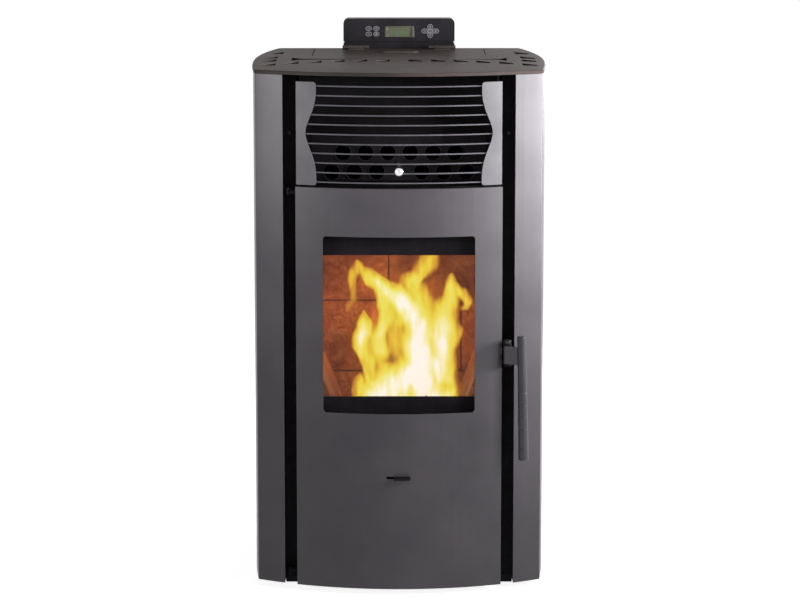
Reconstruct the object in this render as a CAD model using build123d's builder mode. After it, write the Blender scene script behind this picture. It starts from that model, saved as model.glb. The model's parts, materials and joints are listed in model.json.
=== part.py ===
from build123d import *
import os
from math import hypot, sqrt

# Free-standing pellet stove with a bowed front, in millimetres.
# X runs to the right, Y to the back and Z up; the stove stands on Z = 0.

os.makedirs("parts", exist_ok=True)

# ---------------------------------------------------------------- casing sizes
front_radius = 482.0  # one bow shared by door, grille, pillars and top
front_width = 494.0  # between the two front corners
casing_width = 515.0  # widest place of the bowed sides
widest_setback = 197.0  # from the front corners back to the widest place
rear_width = 447.6
casing_depth = 522.0  # crest of the bow to the rear panel
front_corner_r = 4.0
rear_corner_r = 12.0
sheet = 2.0
fit_gap = 0.3  # clearance where one sheet lies against another
hairline = 0.05  # line between the plates of a weldment
far = 1000.0
skirt_z = 12.0  # lower edge of door and side panels
top_z = 910.0
top_thickness = 6.0
top_overhang = 1.5
nosing_r = 3.0
spigot_out = 48.0  # flue spigot behind the rear panel
knob_out = 26.5  # scraper knob in front of the bow

rear_y = (casing_depth + knob_out - spigot_out) / 2
crest_y = rear_y - casing_depth
bow_center_y = crest_y + front_radius
casing_top = top_z - top_thickness


def bow_y(x, setback=0.0):
    """Y of the bowed front at x, or of a surface that lies setback behind it"""
    return bow_center_y - sqrt((front_radius - setback) ** 2 - x**2)


def facing_front(y):
    """sketch plane across the stove at depth y, its normal towards the front"""
    return Plane.XZ.offset(-y)


corner_x = front_width / 2
corner_y = bow_y(corner_x)
widest_x = casing_width / 2
widest_y = corner_y + widest_setback


def side_arc(end_x, end_y):
    """radius of the arc that is widest beside the stove and ends at the given point"""
    return ((widest_x - end_x) ** 2 + (end_y - widest_y) ** 2) / (2 * (widest_x - end_x))


front_side_r = side_arc(corner_x, corner_y)
rear_side_r = side_arc(rear_width / 2, rear_y)


def casing_plan(grow=0.0):
    """plan outline of the casing, grown or shrunk all round"""
    # front corner: the bow and the side arc, both grown, cross here
    bow_r = front_radius + grow
    side_r = front_side_r + grow
    side_center_x = widest_x - front_side_r
    rise = widest_y - bow_center_y
    apart = hypot(side_center_x, rise)
    along = (bow_r**2 - side_r**2 + apart**2) / (2 * apart)
    across = sqrt(bow_r**2 - along**2)
    corner = (
        (along * side_center_x - across * rise) / apart,
        bow_center_y + (along * rise + across * side_center_x) / apart,
    )
    back_y = rear_y + grow
    back_x = widest_x - rear_side_r + sqrt((rear_side_r + grow) ** 2 - (back_y - widest_y) ** 2)
    with BuildSketch() as plan:
        with BuildLine():
            ThreePointArc((-corner[0], corner[1]), (0, crest_y - grow), corner)
            for side in (-1, 1):
                wide = (side * (widest_x + grow), widest_y)
                TangentArc(wide, (side * corner[0], corner[1]), tangent=(0, -1))
                TangentArc(wide, (side * back_x, back_y), tangent=(0, 1))
            Line((-back_x, back_y), (back_x, back_y))
        make_face()
        fillet(plan.vertices().group_by(Axis.Y)[-1], radius=rear_corner_r + grow)
        fillet(plan.vertices().group_by(Axis.Y)[0], radius=max(front_corner_r + grow, 0.5))
    return plan.sketch


def front_strip(x_from, x_to, thickness, setback=0.0):
    """plan section of a curved sheet that follows the bow between two x places"""
    with BuildSketch() as strip:
        with Locations((0, bow_center_y)):
            Circle(front_radius - setback)
            Circle(front_radius - setback - thickness, mode=Mode.SUBTRACT)
        with Locations(((x_from + x_to) / 2, crest_y)):
            Rectangle(x_to - x_from, front_radius, mode=Mode.INTERSECT)
    return strip.sketch


def span(x_from, x_to, y_from, y_to, mode=Mode.ADD):
    """rectangle given by its two limits in each direction of the open sketch"""
    with Locations(((x_from + x_to) / 2, (y_from + y_to) / 2)):
        Rectangle(x_to - x_from, y_to - y_from, mode=mode)


def seam(x_from, x_to, y_from, y_to, z_from, z_to):
    """hairline between welded plates, cut out of the open part"""
    with Locations(((x_from + x_to) / 2, (y_from + y_to) / 2, (z_from + z_to) / 2)):
        Box(x_to - x_from, y_to - y_from, z_to - z_from, mode=Mode.SUBTRACT)


def keep(name, part):
    """label a finished piece and write it under its own name"""
    part.part.label = name
    export_step(part.part, f"parts/{name}.step")


# ---------------------------------------------------------------- shared places
door_half = 177.5  # half chord of the door and of the grille above it
recess_outer = 199.0  # dark channel between door and pillar ends here
post_setback = 68.0
post_y = crest_y + post_setback  # front face of the posts at the bottom of the recess
post_depth = 20.0
door_top_z = 712.0
door_skin_t = 2.5

# ---------------------------------------------------------------- base and casing
tray_z = 8.0
tray_rim = 15.0
tray_half = 198.0
tray_gap = fit_gap
tray_front_y = post_y - sheet - fit_gap
foot_x = 185.0
foot_front_y = -140.0
foot_rear_y = 185.0
foot_r = 18.0
stud_r = 5.0
stud_clearance = 0.2
foot_nut_r = 8.5
foot_nut_h = 6.0
stud_top_z = 34.0


def tray_plan(grow=0.0):
    """plan of the base tray: narrow between the pillars, then as wide as the casing"""
    with BuildSketch() as plan:
        add(casing_plan(-sheet - tray_gap + grow))
        span(-casing_width, casing_width, post_y + post_depth - grow, casing_depth, Mode.INTERSECT)
        span(-tray_half - grow, tray_half + grow, tray_front_y - grow, 0)
    return plan.sketch


foot_places = [(x, y) for x in (-foot_x, foot_x) for y in (foot_front_y, foot_rear_y)]
tray_floor_z = tray_z + sheet

with BuildPart() as base_tray:
    with BuildSketch(Plane.XY.offset(tray_z)):
        add(tray_plan())
    extrude(amount=tray_rim)
    with BuildSketch(Plane.XY.offset(tray_floor_z)):
        add(tray_plan(-sheet))
        span(-tray_half, tray_half, tray_front_y + sheet, post_y + post_depth)
        span(-153, 153, tray_front_y - 1, 0)
    extrude(amount=tray_rim, mode=Mode.SUBTRACT)
    with BuildSketch(Plane.XY.offset(tray_z)):
        with Locations(*foot_places):
            Circle(stud_r + stud_clearance)
    extrude(amount=sheet, mode=Mode.SUBTRACT)
keep("base_tray", base_tray)

with BuildPart() as levelling_feet:
    with BuildSketch():
        with Locations(*foot_places):
            Circle(foot_r)
    extrude(amount=tray_z)
    chamfer(levelling_feet.faces().group_by(Axis.Z)[-1].edges(), length=2.5)
    with BuildSketch(Plane.XY.offset(tray_z)):
        with Locations(*foot_places):
            Circle(stud_r)
    extrude(amount=stud_top_z - tray_z)
    with BuildSketch(Plane.XY.offset(tray_floor_z)):
        with Locations(*foot_places):
            RegularPolygon(foot_nut_r, 6)
    extrude(amount=foot_nut_h)
keep("levelling_feet", levelling_feet)

rear_flange_x = 204.0
panel_top_z = casing_top - fit_gap

with BuildPart() as right_side_panel:
    with BuildSketch(Plane.XY.offset(skirt_z)):
        add(casing_plan())
        add(casing_plan(-sheet), mode=Mode.SUBTRACT)
        span(recess_outer, casing_width, crest_y, rear_y, Mode.INTERSECT)
        span(recess_outer - 1, rear_flange_x + fit_gap, rear_y - 5, rear_y + 1, Mode.SUBTRACT)
        span(
            recess_outer,
            recess_outer + sheet,
            bow_y(recess_outer, sheet / 2),
            post_y + post_depth - fit_gap,
        )
    extrude(amount=panel_top_z - skirt_z)
keep("right_side_panel", right_side_panel)

with BuildPart() as left_side_panel:
    add(mirror(right_side_panel.part, about=Plane.YZ, mode=Mode.PRIVATE))
keep("left_side_panel", left_side_panel)

# ---------------------------------------------------------------- handle, latch and post sizes
pivot = (187.0, crest_y + 25.75)  # vertical axis of the handle lever
pivot_r = 4.0
lever_z = (406.0, 437.0)
bracket_t = 4.0
bracket_z = (lever_z[0] - fit_gap - bracket_t, lever_z[1] + fit_gap)
hook_reach = 24.0
hook_w = 4.0
hook_nose = 5.5
hook_z = (413.0, 424.0)
keeper_pin_r = 2.5
keeper_pin = (181.5, pivot[1] + hook_reach - hook_w - keeper_pin_r - fit_gap)
keeper_ear_t = 3.0
keeper_ears_z = (hook_z[0] - 1.5 - keeper_ear_t, hook_z[1] + 1.5)
post_screw_x = 188.0
post_screw_z = (801.0,)
screw_head_r = 3.5
screw_head_h = 2.2
screw_shank_r = 1.8
post_inner = 176.0
post_outer = recess_outer - fit_gap

with BuildPart() as front_posts:
    with BuildSketch(Plane.XY.offset(tray_floor_z)):
        span(post_inner, post_outer, post_y, post_y + post_depth)
        span(post_inner + sheet, post_outer - sheet, post_y + sheet, rear_y, Mode.SUBTRACT)
    extrude(amount=panel_top_z - tray_floor_z)
    with BuildSketch(facing_front(post_y)):
        for level in post_screw_z:
            with Locations((post_screw_x, level)):
                Circle(screw_shank_r + 0.2)
    extrude(amount=-sheet, mode=Mode.SUBTRACT)
    mirror(about=Plane.YZ)
    # latch keeper, welded to the right post
    with BuildSketch(Plane.XY.offset(keeper_ears_z[0])):
        span(keeper_pin[0] - 3, keeper_pin[0] + 12, post_y - keeper_ear_t, post_y)
    extrude(amount=keeper_ears_z[1] + keeper_ear_t - keeper_ears_z[0])
    for level in keeper_ears_z:
        with BuildSketch(Plane.XY.offset(level)):
            span(keeper_pin[0] - 3, keeper_pin[0] + 3, keeper_pin[1], post_y)
            with Locations(keeper_pin):
                Circle(3)
        extrude(amount=keeper_ear_t)
    with BuildSketch(Plane.XY.offset(keeper_ears_z[0])):
        with Locations(keeper_pin):
            Circle(keeper_pin_r)
    extrude(amount=keeper_ears_z[1] - keeper_ears_z[0])
keep("front_posts", front_posts)

# ---------------------------------------------------------------- hopper, lid and top plate
lid_half = 156.0
lid_front_y = 85.5
lid_rear_y = 222.0
lid_seam = 1.5
lid_gasket_t = 2.0
lid_thickness = top_thickness - lid_gasket_t
fin_width = 24.5
fin_pitch = 40.0
fin_first_x = 41.0
fin_first_y = 226.0
fin_bend = 3.35  # each opening further out stands nearer to the front
fin_ends = (20.0, 44.0)  # depth of the outer and of the inner end
front_fins = 5
side_fin_places = ((-241.0, -135.0), (-243.0, -54.0), (-243.0, 8.0), (-236.5, 104.0))
side_fin = ((0, 0), (25, 14), (26, 56), (0, 22))
wedge = ((-192, -26), (-176, -10), (-70, 2), (-70, 8), (-176, 18), (-192, 32))
slot_corner_r = 1.2
top_sheet = 2.0  # the top is a sheet with a deeper rim and lid seat
top_rim = 8.0
lid_seat = 10.0

with BuildPart() as top_plate:
    with BuildSketch(Plane.XY.offset(casing_top)):
        add(casing_plan(top_overhang))
    extrude(amount=top_thickness)
    fillet(top_plate.faces().sort_by(Axis.Z)[-1].edges(), radius=nosing_r)
    with BuildSketch(Plane.XY.offset(casing_top)) as slots:
        for index in range(front_fins):
            rise = 5.0 + 1.5 * index
            with Locations(
                (-fin_first_x - fin_pitch * index, crest_y + fin_first_y - fin_bend * index**2)
            ):
                Polygon(
                    (0, 0),
                    (fin_width, rise),
                    (fin_width, rise + fin_ends[1]),
                    (0, fin_ends[0]),
                    align=None,
                )
        with Locations(*side_fin_places):
            Polygon(*side_fin, align=None)
        Polygon(*wedge, align=None)
        fillet(slots.vertices(), radius=slot_corner_r)
        mirror(about=Plane.YZ)
        span(
            -lid_half - lid_seam, lid_half + lid_seam, lid_front_y - lid_seam, lid_rear_y + lid_seam
        )
    extrude(amount=top_thickness, mode=Mode.SUBTRACT)
    with BuildSketch(Plane.XY.offset(casing_top)):
        add(casing_plan(-top_rim))
        seat_half = lid_half + lid_seam + lid_seat
        span(-seat_half, seat_half, lid_front_y - lid_seam - lid_seat, far, Mode.SUBTRACT)
    extrude(amount=top_thickness - top_sheet, mode=Mode.SUBTRACT)
keep("top_plate", top_plate)

hinge_y = lid_rear_y + 3.5
hinge_z = top_z + 3.6
knuckle_r = 3.2
hinge_pin_r = 1.6
running_gap = 0.05
leaf_t = 2.0
lid_knuckle = (66.0, 94.0)
outer_knuckles = ((55.0, 65.5), (94.5, 105.0))
pull_size = (70.0, 20.0, 3.0)
pull_y = 147.0


def barrel(x_from, x_to, leaf_from, leaf_to, bore=0.0):
    """hinge knuckle on the stove's width axis, with the leaf that it is rolled from"""
    with BuildPart() as knuckle:
        with BuildSketch(Plane.YZ.offset(x_from)):
            with Locations((hinge_y, hinge_z)):
                Circle(knuckle_r)
            span(leaf_from, leaf_to, top_z, top_z + leaf_t)
            if bore:
                with Locations((hinge_y, hinge_z)):
                    Circle(bore, mode=Mode.SUBTRACT)
        extrude(amount=x_to - x_from)
    return knuckle.part


with BuildPart() as hopper_lid:
    with BuildSketch(Plane.XY.offset(top_z - lid_thickness)):
        span(-lid_half, lid_half, lid_front_y, lid_rear_y)
    extrude(amount=lid_thickness)
    fillet(hopper_lid.edges().filter_by(Axis.Z), radius=2.0)
    knuckle = barrel(*lid_knuckle, lid_rear_y - 18, hinge_y, hinge_pin_r + running_gap)
    add(knuckle)
    add(mirror(knuckle, about=Plane.YZ, mode=Mode.PRIVATE))
    with BuildSketch(Plane.XY.offset(top_z)):
        with Locations((0, pull_y)):
            SlotOverall(pull_size[0], pull_size[1])
    extrude(amount=pull_size[2])
    pull_top = hopper_lid.faces().filter_by(Plane.XY).sort_by(Axis.Z)[-1]
    fillet(pull_top.edges(), radius=1.2)
keep("hopper_lid", hopper_lid)

with BuildPart() as lid_hinges:
    for knuckle_x in outer_knuckles:
        ear = barrel(*knuckle_x, hinge_y, hinge_y + 13)
        add(ear)
        add(mirror(ear, about=Plane.YZ, mode=Mode.PRIVATE))
    for side in (-1, 1):
        with BuildSketch(Plane.YZ.offset(side * outer_knuckles[0][0])):
            with Locations((hinge_y, hinge_z)):
                Circle(hinge_pin_r)
        extrude(amount=side * (outer_knuckles[1][1] - outer_knuckles[0][0]))
keep("lid_hinges", lid_hinges)

hopper_half = 155.0
hopper_y = (80.0, 230.0)
hopper_rim = 15.0
hopper_lip = 9.0
hopper_break_z = 620.0
mouth_z = 440.0
mouth_half = 28.0
mouth_y = (107.0, 163.0)


def hopper_section(z, inset, x_half, y_limits):
    """one level of the hopper's funnel"""
    with BuildSketch(Plane.XY.offset(z)) as level:
        span(-x_half + inset, x_half - inset, y_limits[0] + inset, y_limits[1] - inset)
    return level.sketch


with BuildPart() as hopper:
    with BuildSketch(Plane.XY.offset(hopper_break_z)):
        span(-hopper_half, hopper_half, *hopper_y)
    extrude(amount=casing_top - hopper_break_z)
    with BuildSketch(Plane.XY.offset(casing_top)):
        span(
            -hopper_half - hopper_rim,
            hopper_half + hopper_rim,
            hopper_y[0] - 10,
            hopper_y[1] + 10,
        )
    extrude(amount=-sheet)
    loft(
        [
            hopper_section(mouth_z + fit_gap, 0, mouth_half, mouth_y),
            hopper_section(hopper_break_z, 0, hopper_half, hopper_y),
        ]
    )
    loft(
        [
            hopper_section(mouth_z + fit_gap, sheet, mouth_half, mouth_y),
            hopper_section(hopper_break_z, sheet, hopper_half, hopper_y),
        ],
        mode=Mode.SUBTRACT,
    )
    with BuildSketch(Plane.XY.offset(hopper_break_z)):
        span(-hopper_half + sheet, hopper_half - sheet, hopper_y[0] + sheet, hopper_y[1] - sheet)
    extrude(amount=casing_top - sheet - hopper_break_z, mode=Mode.SUBTRACT)
    with BuildSketch(Plane.XY.offset(casing_top - sheet)):
        span(
            -lid_half + hopper_lip,
            lid_half - hopper_lip,
            lid_front_y + hopper_lip,
            lid_rear_y - hopper_lip,
        )
    extrude(amount=sheet, mode=Mode.SUBTRACT)
    # seams of the folded sheets: rim, box walls and mitred funnel walls
    mitre = 1.14  # the cut runs on past the corner of the mouth
    seam(-far, far, -far, far, casing_top - sheet - hairline, casing_top - sheet)
    seam(-far, far, -far, far, hopper_break_z - hairline, hopper_break_z)
    for side in (-1, 1):
        edge = sorted((side * (hopper_half - sheet), side * (hopper_half - sheet - hairline)))
        seam(*edge, -far, far, hopper_break_z, casing_top - sheet)
        for box_corner_y, mouth_corner_y in zip(hopper_y, mouth_y):
            corner = (side * (hopper_half + 1), box_corner_y)
            run = (side * mouth_half - corner[0], mouth_corner_y - corner[1])
            with BuildSketch(Plane.XY.offset(mouth_z)):
                with BuildLine():
                    Line(corner, (corner[0] + mitre * run[0], corner[1] + mitre * run[1]))
                    offset(amount=hairline / 2)
                make_face()
            extrude(amount=hopper_break_z - mouth_z, mode=Mode.SUBTRACT)
keep("hopper", hopper)

with BuildPart() as lid_gasket:
    with BuildSketch(Plane.XY.offset(casing_top)):
        span(-lid_half + 1, lid_half - 1, lid_front_y + 1, lid_rear_y - 1)
        span(
            -lid_half + hopper_lip,
            lid_half - hopper_lip,
            lid_front_y + hopper_lip,
            lid_rear_y - hopper_lip,
            Mode.SUBTRACT,
        )
    extrude(amount=lid_gasket_t)
keep("lid_gasket", lid_gasket)

# ---------------------------------------------------------------- control console
console_half = 103.5
console_face_y = hinge_y + 14.5
fascia_t = 2.0
console_depth = 30.0
console_height = 56.0  # above the top plate
console_top_z = top_z + console_height
console_neck = 13.0
console_groove = 3.0  # shadow line under the fascia
console_corner_r = 10.0
console_wall = 2.5
screen_center = (1.4, top_z + 30.2)
screen_size = (46.0, 17.0)
bezel_center = (1.0, top_z + 31.1)
bezel_size = (54.7, 20.4)
round_key_x = (-56.5, -42.0)
round_key_z = (top_z + 37.0, top_z + 26.8)
round_key_r = (5.6, 4.2)
pad_center = (58.0, top_z + 32.4)
key_gap = 0.3
key_rise = 1.0
key_flange = 1.5

key_shapes = {}
for row, key_z in enumerate(round_key_z):
    for column, key_x in enumerate(round_key_x):
        key_shapes[f"round_key_{2 * row + column + 1}"] = (key_x, key_z, *round_key_r)
petal = {"up_key": (0, 1), "down_key": (0, -1), "minus_key": (-1, 0), "plus_key": (1, 0)}
petal_reach = (9.8, 6.9)
petal_r = {"up_key": (5.1, 5.85), "down_key": (5.1, 5.85)}
centre_r = (4.2, 3.3)
for key_name, (to_x, to_z) in petal.items():
    key_shapes[key_name] = (
        pad_center[0] + to_x * petal_reach[0],
        pad_center[1] + to_z * petal_reach[1],
        *petal_r.get(key_name, (6.6, 4.4)),
    )
key_shapes["centre_key"] = (*pad_center, *centre_r)

fascia_z = (top_z + console_neck, console_top_z)


def console_outline(inset=0.0):
    """front outline of the console, with its two round upper corners"""
    with BuildSketch() as outline:
        span(-console_half + inset, console_half - inset, fascia_z[0] + inset, fascia_z[1] - inset)
        fillet(outline.vertices().group_by(Axis.Y)[-1], radius=console_corner_r - inset)
    return outline.sketch


fascia_back_y = console_face_y + fascia_t

with BuildPart() as console_fascia:
    with BuildSketch(facing_front(fascia_back_y)):
        add(console_outline())
        with Locations(bezel_center):
            RectangleRounded(bezel_size[0], bezel_size[1], 1.5, mode=Mode.SUBTRACT)
        for key_x, key_z, half_width, half_height in key_shapes.values():
            with Locations((key_x, key_z)):
                Ellipse(half_width + key_gap, half_height + key_gap, mode=Mode.SUBTRACT)
    extrude(amount=fascia_t)
keep("console_fascia", console_fascia)

with BuildPart() as console_housing:
    with BuildSketch(facing_front(fascia_back_y)):
        add(console_outline())
    extrude(amount=-console_depth)
    with BuildSketch(facing_front(fascia_back_y)):
        add(console_outline(console_wall))
    extrude(amount=-console_depth + console_wall, mode=Mode.SUBTRACT)
    with BuildSketch(Plane.XY.offset(top_z)):
        span(-console_half, console_half, console_face_y + 0.6, console_face_y + console_depth)
    extrude(amount=console_neck - console_groove)
    with BuildSketch(Plane.XY.offset(top_z + console_neck - console_groove)):
        span(
            -console_half + 2,
            console_half - 2,
            console_face_y + 3.5,
            console_face_y + console_depth - 2,
        )
    extrude(amount=console_groove)
    with BuildSketch(Plane.YZ.offset(-60)):
        span(rear_y + top_overhang + fit_gap, rear_y + 5, casing_top - 1, top_z + 1)
        span(rear_y + fit_gap, rear_y + 5, casing_top - 32, casing_top - 1)
    extrude(amount=120)
keep("console_housing", console_housing)

with BuildPart() as screen_bezel:
    with BuildSketch(facing_front(fascia_back_y)):
        with Locations(bezel_center):
            RectangleRounded(bezel_size[0] - key_gap, bezel_size[1] - key_gap, 1.4)
        with Locations(screen_center):
            Rectangle(*screen_size, mode=Mode.SUBTRACT)
    extrude(amount=fascia_t + 0.5)
    with BuildSketch(facing_front(fascia_back_y)):
        with Locations(bezel_center):
            RectangleRounded(bezel_size[0] + 3, bezel_size[1] + 3, 2)
        with Locations(screen_center):
            Rectangle(*screen_size, mode=Mode.SUBTRACT)
    extrude(amount=-1.5)
keep("screen_bezel", screen_bezel)

with BuildPart() as screen:
    with BuildSketch(facing_front(fascia_back_y + 3)):
        with Locations(screen_center):
            Rectangle(screen_size[0] - key_gap, screen_size[1] - key_gap)
    extrude(amount=4)
    with BuildSketch(facing_front(fascia_back_y + 3)):
        with Locations(screen_center):
            Rectangle(screen_size[0] + 4, screen_size[1] + 4)
    extrude(amount=1.5)
keep("screen", screen)

for key_name, (key_x, key_z, half_width, half_height) in key_shapes.items():
    with BuildPart() as key:
        with BuildSketch(facing_front(fascia_back_y)):
            with Locations((key_x, key_z)):
                Ellipse(half_width, half_height)
            if key_name in petal:
                with Locations(pad_center):
                    Ellipse(centre_r[0] + 0.6, centre_r[1] + 0.6, mode=Mode.SUBTRACT)
        extrude(amount=fascia_t + key_rise)
        # flange that keeps the key behind the fascia
        to_x, to_z = petal.get(key_name, (0, 0))
        grip_w = 5.0 if to_x else 2 * half_width + 2 * key_gap + 0.4
        grip_h = 2 * half_height + 2 * key_gap + 0.4 if to_x else 5.0
        with BuildSketch(facing_front(fascia_back_y)):
            if key_name == "centre_key":
                with Locations(pad_center):
                    Ellipse(half_width + key_gap + 0.15, half_height + key_gap + 0.15)
            else:
                with Locations((key_x + 1.5 * to_x, key_z + 1.5 * to_z)):
                    Rectangle(grip_w, grip_h)
        extrude(amount=-key_flange)
    keep(key_name, key)

# ---------------------------------------------------------------- warm air outlet
grille_z = (716.0, 893.0)
side_plate_t = 2.0
wave_wide_x = 141.0
wave_narrow_x = 159.6
wave_mid_z = 807.0
wave_z = (728.0, 880.0)
bar_count = 11
bar_first_z = 886.0
bar_pitch = 16.45
bar_h = 2.2
bar_depth = 5.0
bar_half = 166.0
duct_z = (713.5, casing_top - 0.5)
duct_sheet = 1.5
duct_rear_setback = 97.0
duct_half = 169.8
duct_setback = side_plate_t + bar_depth + 2 * fit_gap

with BuildPart() as grille_side_plates:
    with BuildSketch(Plane.XY.offset(grille_z[0])):
        add(front_strip(wave_wide_x - 5, door_half - 1.5, side_plate_t))
    extrude(amount=grille_z[1] - grille_z[0])
    with BuildSketch(facing_front(crest_y - 5)) as wavy:
        with BuildLine():
            Polyline(
                (wave_wide_x, wave_z[1]),
                (wave_wide_x, grille_z[1]),
                (door_half, grille_z[1]),
                (door_half, grille_z[0]),
                (wave_wide_x, grille_z[0]),
                (wave_wide_x, wave_z[0]),
            )
            Spline(
                (wave_wide_x, wave_z[0]),
                (wave_narrow_x, wave_mid_z),
                (wave_wide_x, wave_z[1]),
                tangents=((0, 1), (0, 1)),
            )
        make_face()
        fillet(wavy.vertices().group_by(Axis.Y)[0].sort_by(Axis.X)[0], radius=5)
        fillet(wavy.vertices().group_by(Axis.Y)[-1].sort_by(Axis.X)[0], radius=6)
    extrude(amount=-90, mode=Mode.INTERSECT)
    mirror(about=Plane.YZ)
keep("grille_side_plates", grille_side_plates)

with BuildPart() as grille_bars:
    bar_back = side_plate_t + fit_gap + bar_depth
    carrier_y = bow_y(bar_half, bar_back) - 2.5
    with BuildSketch(Plane.XY.offset(grille_z[0])):
        for side in (-1, 1):
            span(side * (bar_half - 2) - 4, side * (bar_half - 2) + 4, carrier_y, carrier_y + 6)
        with Locations((0, bow_center_y)):
            Circle(front_radius - bar_back - hairline, mode=Mode.INTERSECT)
    extrude(amount=grille_z[1] - grille_z[0])
    for index in range(bar_count):
        with BuildSketch(Plane.XY.offset(bar_first_z - bar_pitch * index - bar_h / 2)):
            add(front_strip(-bar_half, bar_half, bar_depth, side_plate_t + fit_gap))
        extrude(amount=bar_h)
keep("grille_bars", grille_bars)

duct_rear_y = crest_y + duct_rear_setback
smoke_top_z = 796.0
box_half = 152.0

with BuildPart() as outlet_duct:
    with BuildSketch(Plane.XY.offset(duct_z[0])):
        with BuildLine():
            duct_arc = ThreePointArc(
                (-duct_half, bow_y(duct_half, duct_setback)),
                (0, crest_y + duct_setback),
                (duct_half, bow_y(duct_half, duct_setback)),
            )
            Polyline(
                duct_arc @ 1, (duct_half, duct_rear_y), (-duct_half, duct_rear_y), duct_arc @ 0
            )
        make_face()
    extrude(amount=duct_z[1] - duct_z[0])
    with BuildSketch(Plane.XY.offset(duct_z[0] + duct_sheet)):
        inside = duct_half - duct_sheet
        span(-inside, inside, crest_y - 10, duct_rear_y - duct_sheet)
    extrude(amount=duct_z[1] - duct_z[0] - 2 * duct_sheet, mode=Mode.SUBTRACT)
    with BuildSketch(facing_front(duct_rear_y + 5)):
        span(-box_half + 2, box_half - 2, duct_z[0] + duct_sheet, smoke_top_z - 2)
    extrude(amount=10, mode=Mode.SUBTRACT)
keep("outlet_duct", outlet_duct)

# ---------------------------------------------------------------- firebox
box_wall = 4.0
box_front_y = post_y - 14.5
box_rear_y = 22.0
box_floor_z = 236.0
throat_top_z = 708.0
smoke_front_y = duct_rear_y
door_opening_half = 138.0
door_opening_z = (324.0, 630.0)
ash_opening_half = 135.0
ash_opening_z = (64.0, 200.0)
ash_rail_z = 60.0
tube_pitch = 39.0
tube_row_z = (729.5, 763.3)
tube_r = 15.5
tube_wall = 2.0
scraper_z = 744.4
scraper_rod_r = 3.0
cradle_half = 56.0
cradle_y = (-112.0, -8.0)
cradle_wall = 4.0
cradle_top_z = 300.0
air_box_z = 184.0
air_pipe = (20.0, 210.0)
air_pipe_r = 24.0
igniter_place = (30.0, 270.0)
igniter_r = 4.8
chute_half = 28.0
chute_hole_z = (359.0, 446.0)
smoke_port_x = (-142.0, -100.0)
smoke_port_z = (652.0, 692.0)

tube_places = [(tube_pitch * (index - 2.5), tube_row_z[1]) for index in range(6)]
tube_places += [(tube_pitch * index, tube_row_z[0]) for index in (-3, -2, -1, 1, 2, 3)]
inner_half = box_half - box_wall

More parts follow.
